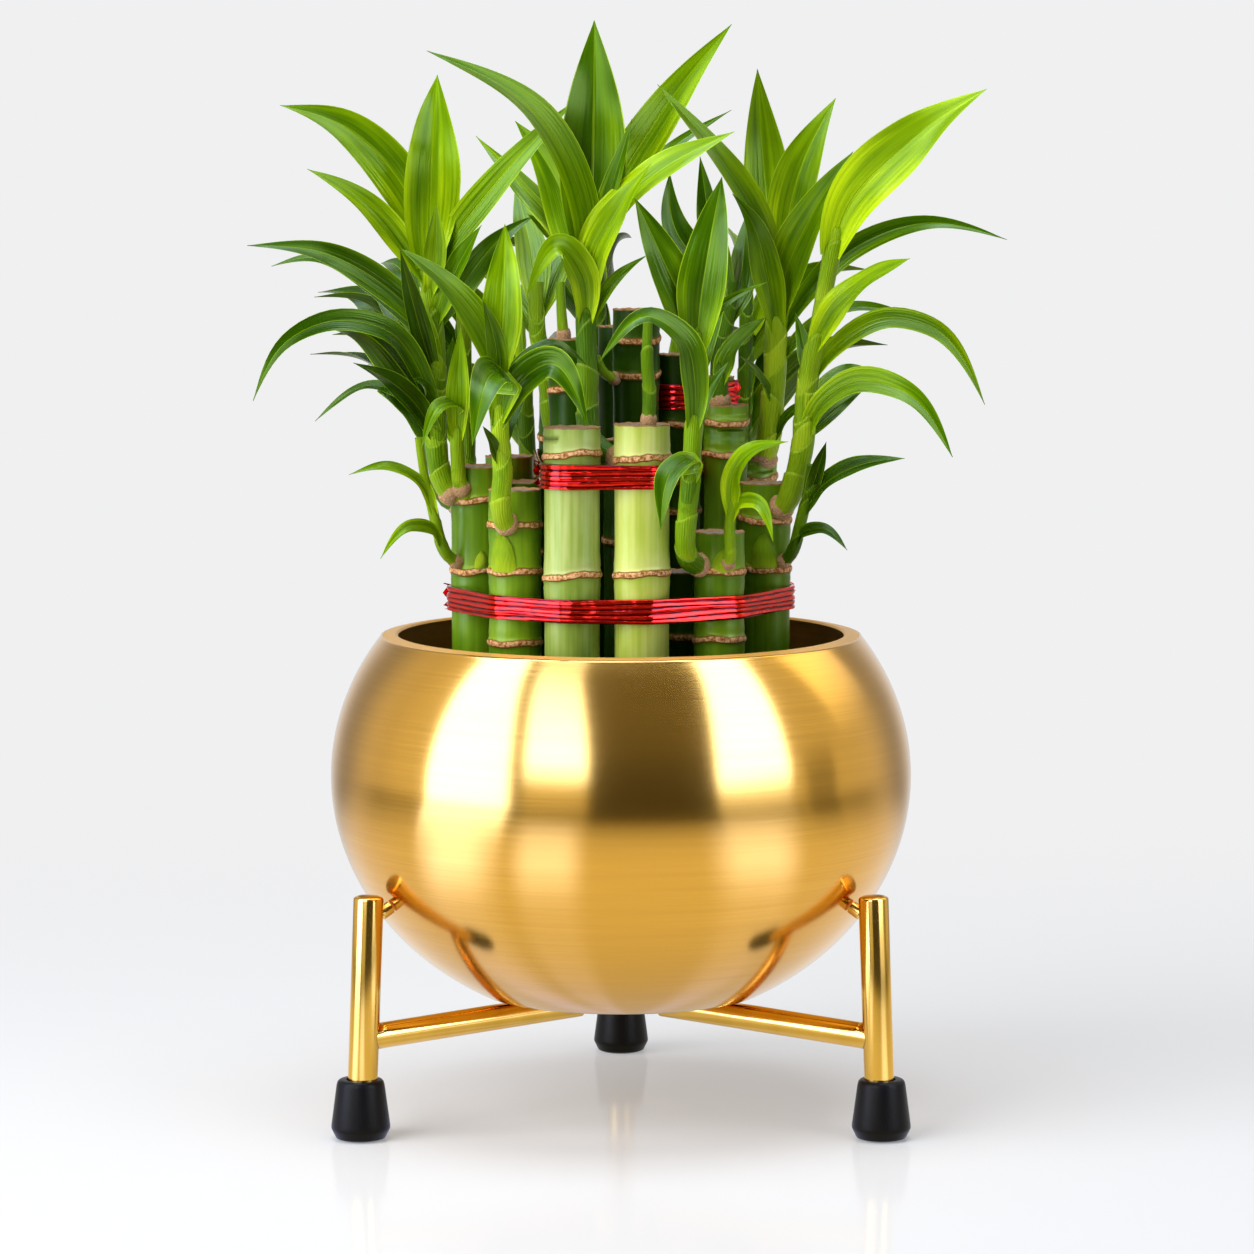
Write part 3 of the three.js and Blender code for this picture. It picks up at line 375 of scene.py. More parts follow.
def curve_through(points):
    """A smooth curve through points: cubic pieces whose knots are the distances between the points."""
    points = np.array(points, float)
    steps = np.linalg.norm(np.diff(points, axis=0), axis=1)
    knots = np.concatenate([[0.0], np.cumsum(steps)])
    slopes = np.diff(points, axis=0) / steps[:, None]
    tangents = np.empty_like(points)
    tangents[0], tangents[-1] = slopes[0], slopes[-1]
    if len(points) > 2:
        before, after = steps[:-1, None], steps[1:, None]
        tangents[1:-1] = (slopes[:-1] * after + slopes[1:] * before) / (before + after)
        tangents[0] = 1.5 * slopes[0] - 0.5 * tangents[1]
        tangents[-1] = 1.5 * slopes[-1] - 0.5 * tangents[-2]

    def at(shares):
        knot = np.clip(shares, 0, 1) * knots[-1]
        i = np.clip(np.searchsorted(knots, knot, side="right") - 1, 0, len(steps) - 1)
        span = steps[i][:, None]
        u = ((knot - knots[i]) / steps[i])[:, None]
        v = 1 - u
        start = points[i] * v * v * (1 + 2 * u) + tangents[i] * span * u * v * v
        return start + points[i + 1] * u * u * (3 - 2 * u) - tangents[i + 1] * span * u * u * v

    return at, knots[-1]


def tangents_of(curve, shares):
    """The directions of a curve at shares of its length."""
    return unit(curve(shares + 0.01) - curve(shares - 0.01))


def frames_along(curve):
    """A function from shares to two directions across the curve, which turn as little as they can."""
    shares = np.linspace(0, 1, 80)
    tangents = tangents_of(curve, shares)
    side = unit(np.cross(tangents[0], np.array([0.2, 0.4, 0.9])))
    sides = []
    for tangent in tangents:
        side = unit(side - tangent * side.dot(tangent))
        sides.append(side)
    sides = np.array(sides)

    def at(wanted):
        side = np.stack([np.interp(wanted, shares, sides[:, i]) for i in range(3)], axis=-1)
        tangent = tangents_of(curve, wanted)
        side = unit(side - tangent * np.sum(side * tangent, axis=-1, keepdims=True))
        return side, np.cross(tangent, side)

    return at


def quads(rows, columns, first=0, closed=True):
    """The faces between rows of points that are numbered from `first`. `closed` joins the last column to
    the first."""
    index = first + np.arange(rows * columns).reshape(rows, columns)
    right = np.roll(index, -1, axis=1)
    last = columns if closed else columns - 1
    corners = [index[:-1, :last], right[:-1, :last], right[1:, :last], index[1:, :last]]
    return np.stack(corners, axis=-1).reshape(-1, 4).tolist()


def new_object(name, points, faces, materials):
    mesh = bpy.data.meshes.new(name)
    mesh.from_pydata(points.reshape(-1, 3).tolist(), [], faces)
    for material in materials:
        mesh.materials.append(material)
    mesh.shade_smooth()
    made = bpy.data.objects.new(name, mesh)
    bpy.context.scene.collection.objects.link(made)
    return made


def carry(piece, attribute, values):
    """Gives each point of a piece a vector, which its materials read."""
    carried = piece.data.attributes.new(attribute, "FLOAT_VECTOR", "POINT")
    carried.data.foreach_set("vector", np.ravel(values).astype(np.float32))


class Form:
    """Grids of points in millimetres round the bowl's axis, with the values that the materials read."""

    def __init__(self):
        self.points = []
        self.values = []
        self.faces = []
        self.slots = []
        self.count = 0

    def grid(self, points, values=0.0, slot=0, closed=True):
        """Adds rows and columns of points, with a value vector each."""
        rows, columns = points.shape[:2]
        faces = quads(rows, columns, self.count, closed)
        self.points.append(points.reshape(-1, 3))
        self.values.append(np.broadcast_to(values, points.shape).reshape(-1, 3))
        self.faces.extend(faces)
        self.slots.extend([slot] * len(faces))
        self.count += rows * columns

    def piece(self, name, materials, record_slot, *nodes):
        """Makes the visible piece, which stands for those nodes."""
        points = np.concatenate(self.points) * MM + np.array([axis_x, axis_y, 0.0])
        piece = new_object(name, points, self.faces, materials)
        carry(piece, "place", np.concatenate(self.values))
        piece.data.polygons.foreach_set("material_index", self.slots)
        piece.data.update()
        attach(piece, "root")
        if nodes:
            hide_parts(*nodes)


# Materials


class Value:
    """What a node of a material gives out. Sums, differences, products and quotients are nodes too."""

    def __init__(self, look, socket):
        self.look = look
        self.socket = socket

    def __add__(self, other):
        return self.look.math("ADD", self, other)

    def __sub__(self, other):
        return self.look.math("SUBTRACT", self, other)

    def __rsub__(self, other):
        return self.look.math("SUBTRACT", other, self)

    def __mul__(self, other):
        return self.look.math("MULTIPLY", self, other)

    def __truediv__(self, other):
        return self.look.math("DIVIDE", self, other)


class Look:
    """A material that is built up node by node."""

    def __init__(self, name):
        self.material = bpy.data.materials.new(name)
        self.material.use_nodes = True
        self.nodes = self.material.node_tree.nodes
        self.shader = self.nodes["Principled BSDF"]

    def feed(self, socket, value):
        """Links a value to a socket, or sets the socket to a number or a colour."""
        if isinstance(value, Value):
            self.material.node_tree.links.new(value.socket, socket)
        elif isinstance(value, tuple) and socket.type == "RGBA":
            socket.default_value = (*value, 1.0)
        else:
            socket.default_value = value

    def set(self, **inputs):
        """Sets the shader's inputs, given as words joined by underscores."""
        for key, value in inputs.items():
            self.feed(self.shader.inputs[key.replace("_", " ")], value)

    def node(self, kind, inputs=(), out=0, **settings):
        """A new node's output. Its inputs are pairs of a name or number and a value."""
        node = self.nodes.new("ShaderNode" + kind)
        for key, value in settings.items():
            setattr(node, key, value)
        for key, value in dict(inputs).items():
            self.feed(node.inputs[key], value)
        return Value(self, node.outputs[out])

    def math(self, operation, *values):
        return self.node("Math", enumerate(values), operation=operation)

    def joined(self, *parts):
        return self.node("CombineXYZ", enumerate(parts))

    def parts(self, vector):
        node = self.nodes.new("ShaderNodeSeparateXYZ")
        self.feed(node.inputs[0], vector)
        return [Value(self, socket) for socket in node.outputs]

    def place(self):
        """The three values that each point of a piece carries."""
        return self.parts(self.node("Attribute", out="Vector", attribute_name="place"))

    def here(self):
        """The object's own coordinates."""
        return self.node("TexCoord", out="Object")

    def noise(self, vector, scale=1.0, detail=3.0, roughness=0.5):
        inputs = {"Vector": vector, "Scale": scale, "Detail": detail, "Roughness": roughness}
        return self.node("TexNoise", inputs, "Fac")

    def grain(self, scale, detail=3.0, roughness=0.5, upright=1.0):
        """Noise on the object's own coordinates, drawn out along the height where `upright` is below 1."""
        mapped = self.node("Mapping", {"Vector": self.here(), "Scale": (1.0, 1.0, upright)})
        return self.noise(mapped, scale, detail, roughness)

    def ramp(self, value, *stops):
        """A colour ramp of (place, colour) stops."""
        node = self.nodes.new("ShaderNodeValToRGB")
        self.feed(node.inputs[0], value)
        elements = node.color_ramp.elements
        while len(elements) < len(stops):
            elements.new(1.0)
        for element, (place, colour) in zip(elements, stops):
            element.position = place
            element.color = (*colour, 1.0)
        return Value(self, node.outputs[0])

    def smooth(self, value, low, high):
        """0 below low and 1 above high, with a smooth step between them."""
        return self.node("MapRange", {0: value, 1: low, 2: high}, interpolation_type="SMOOTHSTEP")

    def below(self, value, low, high):
        """1 below low and 0 above high, with a smooth step between them."""
        return 1.0 - self.smooth(value, low, high)

    def mix(self, share, first, second):
        """Mixes two colours."""
        return self.node("Mix", {0: share, 6: first, 7: second}, 2, data_type="RGBA")

    def bump(self, height, distance, strength=1.0):
        """Fine relief, in metres."""
        inputs = {"Height": height, "Distance": distance, "Strength": strength}
        self.set(Normal=self.node("Bump", inputs))


def leaf_look():
    """Glossy green blades: place holds the share along, the share across and the leaf's tone."""
    look = Look("leaf")
    along, across, tone = look.place()
    edge = look.math("ABSOLUTE", across)
    seed = tone * 41.0
    broad = look.noise(look.joined(along * 2.0, across * 1.2, seed), detail=2.0)
    pleats_and_painted_shade = look.noise(look.joined(along * 0.7, across * 5.5, seed), detail=1.0)
    fine = look.noise(look.joined(along * 1.1, across * 26.0, seed), detail=2.0, roughness=0.6)
    wide = look.below(along, 0.35, 0.75)
    veins = (fine - 0.5) * (wide * 0.36 + 0.06)
    # Painted shade: the pleats' noise also lightens and darkens the colour in stripes, as the folds would be
    # lit, besides raising them in the bump.
    streaks = (broad - 0.5) * 0.75 + (pleats_and_painted_shade - 0.5) * 0.28 + veins
    # Painted glow: the blade is painted lighter towards its margins and its root, for light that shines
    # through the thin leaf.
    painted_glow_margins = look.smooth(edge, 0.3, 0.95) * look.below(along, 0.3, 0.8)
    root = look.below(along, 0.05, 0.45)
    green = look.ramp(tone + streaks + painted_glow_margins * 0.18 + root * 0.16,
                      (0.0, (0.007, 0.026, 0.0003)), (0.25, (0.022, 0.070, 0.0004)),
                      (0.5, (0.062, 0.150, 0.0006)), (0.75, (0.18, 0.32, 0.001)), (1.0, (0.44, 0.62, 0.004)))
    midrib = look.below(edge, 0.012, 0.06)
    ribbed = look.mix(midrib * 0.4, green, (0.25, 0.40, 0.005))
    colour = look.mix(look.smooth(edge, 0.945, 0.985) * 0.7, ribbed, (0.42, 0.60, 0.02))
    look.set(Base_Color=colour, Roughness=0.25, Specular_IOR_Level=0.33, Specular_Tint=LEAF_SHEEN)
    look.bump((pleats_and_painted_shade + fine * 0.1 - midrib * 0.4) * wide, 0.0004)
    return look.material


def stem_look():
    """Sheathed stems: place holds the share up a sheath, the turn round it and the stem's tone."""
    look = Look("stem")
    along, around, tone = look.place()
    streaks = look.noise(look.joined(along * 0.8, around * 3.0, tone), 4.0)
    foot = look.below(along, 0.0, 0.45)
    green = look.ramp(foot * 0.22 + tone + (streaks - 0.5) * 0.5, (0.0, (0.012, 0.042, 0.001)),
                      (0.35, (0.055, 0.14, 0.002)), (0.65, (0.16, 0.29, 0.004)), (1.0, (0.36, 0.50, 0.015)))
    lip = look.smooth(along, 0.93, 0.985)
    colour = look.mix(lip * 0.3, green, (0.33, 0.42, 0.03))
    look.set(Base_Color=colour, Roughness=0.30, Specular_IOR_Level=0.25, Specular_Tint=LEAF_SHEEN)
    ribs = look.math("SINE", around * 26.0)
    look.bump(ribs * 0.3 + streaks, 0.00012)
    return look.material


def cane_look(name, gloss, deep, light, pale):
    """A waxy cane: place holds the distance to the nearest joint, the depth below the cut top, and how
    near a joint is, above it positive and below it negative."""
    look = Look(name)
    joint, below_top, side = look.place()
    fibres = look.grain(900.0, upright=0.03)
    blotches = look.grain(55.0, 4.0, 0.6, upright=0.45)
    skin = look.ramp(fibres * 0.35 + blotches * 0.65, (0.28, deep), (0.5, light), (0.78, pale))
    waxed = look.mix(look.smooth(side, 0.1, 0.9) * 0.55, skin, pale)
    shaded = look.mix(look.smooth(side * -1.0, 0.1, 0.9) * 0.6, waxed, deep)
    speckle = look.grain(1100.0, 3.0, 0.65)
    drift = look.grain(420.0, upright=0.3)
    gap = joint - (drift * 0.9 - 0.25)
    scar = look.ramp(speckle, (0.38, (0.20, 0.06, 0.012)), (0.49, (0.50, 0.24, 0.085)),
                     (0.62, (0.75, 0.46, 0.22)))
    edged = look.mix(look.below(gap, 0.52, 0.9), shaded, (0.15, 0.05, 0.006))
    ringed = look.mix(look.below(gap, 0.32, 0.5), edged, scar)
    colour = look.mix(look.below(below_top, 0.15, 0.6), ringed, (0.40, 0.20, 0.06))
    core = look.below(gap, 0.4, 0.8)
    look.set(Base_Color=colour, Roughness=core * 0.3 + 0.33, Specular_IOR_Level=gloss,
             Specular_Tint=CANE_SHEEN)
    look.bump(fibres * 0.25 + speckle * core, 0.0002)
    return look.material


def cut_look():
    """A sawn cane top: place holds the share out from its middle."""
    look = Look("cut_top")
    out, _, _ = look.place()
    grain = look.grain(1500.0)
    face = look.ramp(grain, (0.3, (0.085, 0.075, 0.045)), (0.7, (0.26, 0.24, 0.15)))
    colour = look.mix(look.smooth(out, 0.78, 0.9), face, (0.30, 0.16, 0.055))
    look.set(Base_Color=colour, Roughness=0.7, Specular_IOR_Level=0.3)
    look.bump(grain, 0.0003)
    return look.material


def collar_look():
    """The dry brown collar where a shoot leaves its cane."""
    look = Look("collar")
    along, around, _ = look.place()
    grain = look.noise(look.joined(along * 5.0, around, 0.0), 4.0, 4.0, 0.6)
    colour = look.ramp(grain, (0.3, (0.22, 0.08, 0.02)), (0.48, (0.50, 0.27, 0.11)),
                       (0.7, (0.76, 0.52, 0.28)))
    look.set(Base_Color=colour, Roughness=0.6, Specular_IOR_Level=0.35)
    look.bump(grain, 0.0004)
    return look.material


def brushed_gold_look(name, roughness, metal, coat):
    """Satin gold, brushed round the bowl."""
    look = Look(name)
    x, y, height = look.parts(look.here())
    x, y = x - axis_x, y - axis_y
    out = look.math("SQRT", x * x + y * y)
    lines = look.noise(look.joined(x / out, y / out, height * 5200.0), roughness=0.65)
    broad = look.noise(look.joined(x / out, y / out, height * 420.0))
    colour = look.ramp(lines * 0.7 + broad * 0.3, (0.3, (0.67, 0.34, 0.036)), (0.7, (0.77, 0.405, 0.050)))
    look.set(Base_Color=colour, Metallic=metal, Roughness=lines * 0.07 + roughness, Anisotropic=0.55,
             Anisotropic_Rotation=0.25, Coat_Weight=coat, Coat_Roughness=0.12,
             Tangent=look.node("Tangent", direction_type="RADIAL", axis="Z"))
    look.bump(lines, 0.000008, 0.7)
    return look.material


def polished_gold_look():
    """The stand's mirror-like gold, faintly smeared."""
    look = Look("polished_gold")
    smears = look.grain(160.0, upright=0.3)
    colour = look.ramp(smears, (0.3, (0.68, 0.38, 0.05)), (0.7, (0.75, 0.43, 0.065)))
    look.set(Base_Color=colour, Metallic=1.0, Roughness=smears * 0.06 + 0.11)
    look.bump(smears, 0.00001, 0.4)
    return look.material


def rubber_look():
    """Matt black rubber with a fine grain."""
    look = Look("black_rubber")
    grain = look.grain(2600.0, 2.0)
    look.set(Base_Color=(0.003, 0.003, 0.0033), Roughness=grain * 0.15 + 0.3, Specular_IOR_Level=0.12,
             Specular_Tint=WARM_SHEEN)
    look.bump(grain, 0.00005)
    return look.material


def foil_look():
    """Red metallised film: place holds the share round, the share up and how far a strand stands out."""
    look = Look("red_foil")
    along, up, proud = look.place()
    streaks = look.noise(look.joined(along * 1.6, up * 9.0, 0.0), detail=2.0)
    creases = look.noise(look.joined(along * 6.0, up * 1.2, 3.0), detail=2.0)
    # Painted shade: the colour darkens from each strand's crown to near black in the grooves between
    # strands.
    colour = look.ramp(proud, (0.25, (0.015, 0.0, 0.0)), (0.65, (0.42, 0.001, 0.0)),
                       (1.0, (0.80, 0.016, 0.0004)))
    look.set(Base_Color=colour, Metallic=0.85, Roughness=0.07, Coat_Weight=0.07, Coat_Roughness=0.03)
    look.bump(streaks + creases * 1.5, 0.00034)
    return look.material


def pebble_look(name, dark, light):
    """A dark pebble, clouded and wet-looking."""
    look = Look(name)
    colour = look.ramp(look.grain(120.0, 4.0), (0.3, dark), (0.7, light))
    look.set(Base_Color=colour, Roughness=0.22, Specular_Tint=WARM_SHEEN, Coat_Weight=0.4)
    return look.material


# The plants

LEAF_SLOT, STEM_SLOT, CANE_SLOT, CUT_SLOT, COLLAR_SLOT = range(5)


def leaf_outline(share):
    """The share of a leaf's full width at a share of its length."""
    rising = np.sin(math.pi / 2 * np.minimum(share / LEAF_WIDEST, 1))
    falling = np.cos(math.pi / 2 * np.maximum((share - LEAF_WIDEST) / (1 - LEAF_WIDEST), 0))
    return np.where(share < LEAF_WIDEST, LEAF_ROOT_WIDTH + (1 - LEAF_ROOT_WIDTH) * rising, falling)


def add_leaf(form, width, path, facing, tone, phase):
    """A creased blade with gently waved edges, an upper and a lower face that meet at its margins. It is
    curled round its stem at the root."""
    curve, _ = curve_through(path)
    along = 1 - (1 - np.linspace(0, 1, 30)) ** 1.15
    across = np.array([-1.0, -0.86, -0.6, -0.34, -0.12, 0.0, 0.12, 0.34, 0.6, 0.86, 1.0])
    tangent = tangents_of(curve, along)
    level = unit(np.cross(tangent, facing))
    twist = (LEAF_TWIST * math.sin(7.3 * phase) * np.sin(math.pi * along) ** 2)[:, None]
    side = level * np.cos(twist) + np.cross(tangent, level) * np.sin(twist)
    face = np.cross(side, tangent)
    half = np.maximum(width / 2 * leaf_outline(along), LEAF_TIP_HALF)[:, None]
    spread = np.abs(across)
    curl = LEAF_CURL + LEAF_ROOT_CURL * np.exp(-((along / 0.14) ** 2))[:, None]
    wave = np.sin(math.tau * (1.7 * along[:, None] + phase + 0.2 * np.sign(across)))
    lift = half * (LEAF_CREASE * spread + curl * spread ** 2 + LEAF_RUFFLE * wave * spread ** 2)
    thickness = (1 - spread ** 2) * (0.15 + 0.3 * np.minimum(half / 2, 1))
    middle = curve(along)[:, None] + side[:, None] * (across * half)[..., None]
    upper = middle + face[:, None] * (lift + thickness / 2)[..., None]
    lower = middle + face[:, None] * (lift - thickness / 2)[..., None]
    values = stacked(along[:, None], across, tone)
    form.grid(upper, values, LEAF_SLOT, False)
    form.grid(lower[:, ::-1], values[:, ::-1], LEAF_SLOT, False)


def tube_grid(curve, frames, shares, radii, turn):
    """Rows round a curve. Shares and radii may differ from column to column."""
    shares = np.broadcast_to(shares, (len(shares), len(turn)))
    radii = np.broadcast_to(radii, shares.shape)
    turns = np.broadcast_to(turn, shares.shape).reshape(-1, 1)
    flat = shares.ravel()
    first, second = frames(flat)
    points = curve(flat) + radii.reshape(-1, 1) * (first * np.cos(turns) + second * np.sin(turns))
    return points.reshape(*shares.shape, 3)


def exit_share(curve, cane):
    """Where a stem's middle line leaves its cane."""
    shares = np.linspace(0, 1, 200)
    x, y, z = curve(shares).T
    outside = (np.hypot(x - cane.x, y - cane.y) > cane.radius) | (z > cane.top)
    return float(shares[np.argmax(outside)])


def sheath_lips(line, shares, frames, leaves, start, length, seed):
    """The lips of a stem's sheaths, as a share of its length, a heading and a rise. A sheath belongs to
    each leaf, with a lip that rises towards the leaf's root. Lower sheaths have slighter lips."""
    leaf_rise, bare_rise, bare_spacing = 3.4, 1.6, 9.5
    lips = []
    for _, leaf in leaves:
        share = shares[np.argmin(np.linalg.norm(line - leaf[0], axis=1))]
        first, second = frames(np.array([share]))
        heading = leaf[1] - leaf[0]
        turn = math.atan2(second[0].dot(heading), first[0].dot(heading))
        lips.append((max(share, start + 2 / length), turn, leaf_rise))
    lowest = min([lip[0] for lip in lips], default=1.0)
    bare = round(length * (lowest - start) / bare_spacing)
    for k in range(1, bare):
        lips.append((start + (lowest - start) * k / bare, math.pi * k + 0.7 * seed, bare_rise))
    return sorted(lips)


def add_stem(form, path, radius, leaves, cane, tone, seed):
    """A stem wrapped in sheaths over a dry collar at the cane."""
    curve, length = curve_through(path)
    frames = frames_along(curve)
    turn = full_turn(20)

    def core(share):
        return radius * (STEM_GIRTH - STEM_TAPER * share)

    def tube(shares, radii, along, slot, shade=tone, twist=0.0):
        points = tube_grid(curve, frames, shares, radii, turn)
        form.grid(points, stacked(along, turn + twist, shade), slot)

    rows = np.linspace(0, 1, 24)[:, None]
    tube(rows, core(rows) * 0.94, rows * 0.6, STEM_SLOT)
    tip = np.array([0.995, 1.0, 1.0])[:, None]
    tube(tip, core(1.0) * np.array([0.94, 0.6, 0.01])[:, None], 0.7 + 0 * tip, STEM_SLOT)

    start = exit_share(curve, cane)
    shares = np.linspace(0, 1, 200)
    climb = np.array([0.0, 0.2, 0.4, 0.6, 0.78, 0.92, 1.0, 1.0])[:, None]
    closing = np.array([0.0, 0.0, 0.0, 0.0, 0.0, 0.0, 0.0, 1.0])[:, None]
    lips = sheath_lips(curve(shares), shares, frames, leaves, start, length, seed)
    for k, (share, heading, rise) in enumerate(lips):
        lip = share + rise * (0.25 + np.cos(turn - heading)) / length
        foot = max(start, share - SHEATH_LENGTH / length)
        shares = np.clip(foot + climb * (lip - foot), 0, 1)
        girth = core(shares) * (0.98 + 0.15 * climb ** 1.5 - 0.2 * closing)
        tube(shares, girth, climb, STEM_SLOT, tone + 0.14 * math.sin(2.1 * k + seed), 1.3 * k)

    collar = min(COLLAR_LENGTH / length, 0.2)
    climb = np.linspace(0, 1, 8)[:, None]
    swell = np.sin(math.pi * np.clip(climb * 1.05, 0, 1)) ** 0.5
    ragged = 0.05 * np.sin(5 * turn + seed) + 0.04 * np.sin(11 * turn + 2 * seed)
    shares = start - 0.3 * collar + climb * collar * (1 + ragged)
    tube(shares, core(start) * (0.95 + 0.25 * swell + ragged * climb), climb, COLLAR_SLOT)


def add_cane(form, cane, seed):
    """A cane with waved joint scars and a sawn top."""
    turn = full_turn(56)
    wave = 0.55 * np.sin(turn + 1.3 * seed) + 0.35 * np.sin(2 * turn + 2.1 * seed)
    wave = JOINT_WAVE * (wave + 0.15 * np.sin(5 * turn + seed))
    offsets = [-6, -4, -2.6, -1.7, -1.1, -0.7, -0.35, 0, 0.35, 0.7, 1.1, 1.7, 2.6, 4, 6]
    rows = [(SOCKET_BOTTOM_Z, 0.0), (100.0, 0.0), (112.0, 0.0)]
    for joint in cane.joints:
        rows += [(joint + offset, math.exp(-((offset / 3.0) ** 2))) for offset in offsets]
    rows += [(cane.top - depth, 0.0) for depth in (3.0, 1.5, 0.8, 0.35)]
    height, share = np.array(sorted(row for row in rows if row[0] <= cane.top - 0.3)).T[..., None]
    height = height + wave * share
    offset = height - (np.array(cane.joints)[:, None, None] + wave)
    nearest = np.take_along_axis(offset, np.argmin(np.abs(offset), axis=0)[None], axis=0)[0]
    swell = JOINT_BULGE * np.exp(-((nearest / 4.5) ** 2)) + SCAR_RIDGE * np.exp(-((nearest / 0.75) ** 4))
    groove = SCAR_GROOVE * np.exp(-(((np.abs(nearest) - 1.5) / 0.5) ** 2))
    flare = CANE_FLARE * cane.radius * np.exp(-((cane.top - height) / 4.0))
    out_of_round = 0.12 * np.sin(2 * turn + seed) + 0.08 * np.sin(3 * turn + 2 * seed)
    radius = CANE_WAIST * cane.radius + swell - groove + flare + out_of_round - 0.08
    side = np.sign(nearest) * np.exp(-np.abs(nearest) / 4)
    values = stacked(np.abs(nearest), cane.top - height, side)
    form.grid(ring(cane.x, cane.y, radius, turn, height), values, CANE_SLOT)

    ragged = 0.10 * np.sin(9 * turn + seed) + 0.08 * np.sin(17 * turn + 3 * seed) - 0.12
    out = np.array([1.0, 1.015, 0.97, 0.9, 0.78, 0.5, 0.2, 0.001])[:, None]
    sink = np.array([0.3, 0.0, 0.0, 0.35, 0.55, 0.75, 0.8, 0.8])[:, None]
    points = ring(cane.x, cane.y, out * radius[-1], turn, cane.top - sink + ragged * out ** 4)
    form.grid(points, stacked(out, 0.0, turn), CUT_SLOT)


def add_bud(form, cane, azimuth, foot, height, width, tone):
    """A pointed scale that hugs its cane above a joint."""
    along = np.linspace(0, 1, 16)[:, None]
    across = np.linspace(-1, 1, 13)
    half = 0.42 * width * (1 - along) ** 0.8 * (1 + 1.1 * along) + 0.05
    turn = math.radians(azimuth) + across * half / cane.radius
    crown = (1 - across ** 2) * (0.35 + 0.8 * np.sin(math.pi * np.clip(along * 1.15, 0, 1)))
    points = ring(cane.x, cane.y, cane.radius + 0.15 + crown, turn, foot + height * along)
    form.grid(points, stacked(along * 0.9, across * 3, tone), STEM_SLOT, False)


def outward(cane):
    """The level direction from the bowl's axis to a cane."""
    return unit(np.array([cane.x, cane.y, 0.0]))


def back_stem(shoot, cane):
    """A stem that leaves its cane outwards, bends and rises."""
    foot = np.array([cane.x, cane.y, shoot.foot])
    steps = ((-2, 0), (3, 1), (6, 8), (8, shoot.rise / 2), (9, shoot.rise))
    return [foot + UP * up + outward(cane) * (cane.radius + reach) for reach, up in steps]


def back_leaves(shoot, cane, stem):
    """The leaves of a shoot at the back, as (width, path), set round it by the golden angle."""
    x, y, _ = outward(cane)
    curve, _ = curve_through(stem)
    leaves = []
    for k in range(shoot.leaves):
        share = 0.45 + 0.5 * k / (shoot.leaves - 1)
        turned = ((shoot.start + k) * GOLDEN_TURN / 360) % 1
        spread = math.radians(BACK_LEAF_SPREAD * (2 * turned - 1))
        heading = np.array([x * math.cos(spread) - y * math.sin(spread),
                            x * math.sin(spread) + y * math.cos(spread), 0.0])
        length = 30 + 13 * (((shoot.start + 2 * k) * GOLDEN_SHARE) % 1)
        root = curve(np.array([share]))[0]
        steps = ((0.18, 0.28), (0.5, 0.58), (0.9, 0.62))
        path = [root] + [root + length * (heading * reach + UP * up) for reach, up in steps]
        leaves.append((0.24 * length, path))
    return leaves


def tone_with_painted_light(point, seed):
    """Leaves are painted brighter towards the front and the top, where more light falls, and differ at
    random from one to the next.
    """
    # Painted light: front and high lighten the tone by where the leaf stands; only variety is the leaf's
    # own.
    front = np.clip((30 - point[1]) / 90, 0, 1)
    high = np.clip((point[2] - 170) / 110, 0, 1)
    variety = math.sin(12.9 * seed)
    return float(np.clip(0.20 + 0.29 * front + 0.13 * high + 0.25 * variety, 0.02, 0.95))


def shoots_of(name, cane):
    """The shoots of a cane, each as its stem's radius and path, its leaves and where the leaves face."""
    shoots = []
    for shoot in FRONT_SHOOTS:
        if shoot.cane == name:
            leaves = [(width, [seen(point) for point in path]) for width, *path in shoot.leaves]
            shoots.append((shoot.radius, [seen(point) for point in shoot.stem], leaves, FRONT_FACING))
    for shoot in BACK_SHOOTS:
        if shoot.cane == name:
            stem = back_stem(shoot, cane)
            facing = 0.7 * outward(cane) + 0.7 * UP
            shoots.append((BACK_STEM_RADIUS, stem, back_leaves(shoot, cane, stem), facing))
    return shoots


def make_plants(leaf, stem, cut, collar, skins):
    """One piece for each cane together with the shoots that grow from it."""
    seed = 0
    for name, cane in CANES.items():
        form = Form()
        add_cane(form, cane, len(name) + cane.x)
        paler = PALER.get(name, 0.0)
        for radius, line, leaves, facing in shoots_of(name, cane):
            seed += 1
            add_stem(form, line, radius, leaves, cane, tone_with_painted_light(line[-1], seed) + paler + STEM_PALER, seed)
            for width, path in leaves:
                seed += 1
                tone = tone_with_painted_light(path[len(path) // 2], seed) + paler
                add_leaf(form, width, path, facing, tone, 0.37 * seed)
        if name in BUDS:
            add_bud(form, cane, *BUDS[name])
        form.piece("plant_" + name, [leaf, stem, skins[cane.skin], cut, collar], "living_bamboo",
                   "cane_" + name)


# The ribbons


def ribbon_path(names):
    """The line drawn tight round the canes, its outward directions, evenly spaced, and its length."""
    turn = full_turn(1440)
    away = stacked(np.cos(turn), np.sin(turn))
    places = np.array([[CANES[name].x, CANES[name].y] for name in names])
    radii = np.array([CANES[name].radius for name in names])
    reach = places @ away.T + radii[:, None]
    chosen = np.argmax(reach, axis=0)
    line = places[chosen] + away * radii[chosen][:, None]
    line = np.concatenate([line, line[:1]])
    steps = np.concatenate([[0], np.cumsum(np.linalg.norm(np.diff(line, axis=0), axis=1))])
    even = np.linspace(0, steps[-1], 420)
    line = stacked(*(np.interp(even, steps, line[:, i]) for i in range(2)))
    forward = unit(np.roll(line[:-1], -1, axis=0) - np.roll(line[:-1], 1, axis=0))
    forward = np.concatenate([forward, forward[:1]])
    return line, stacked(forward[:, 1], -forward[:, 0]), steps[-1]


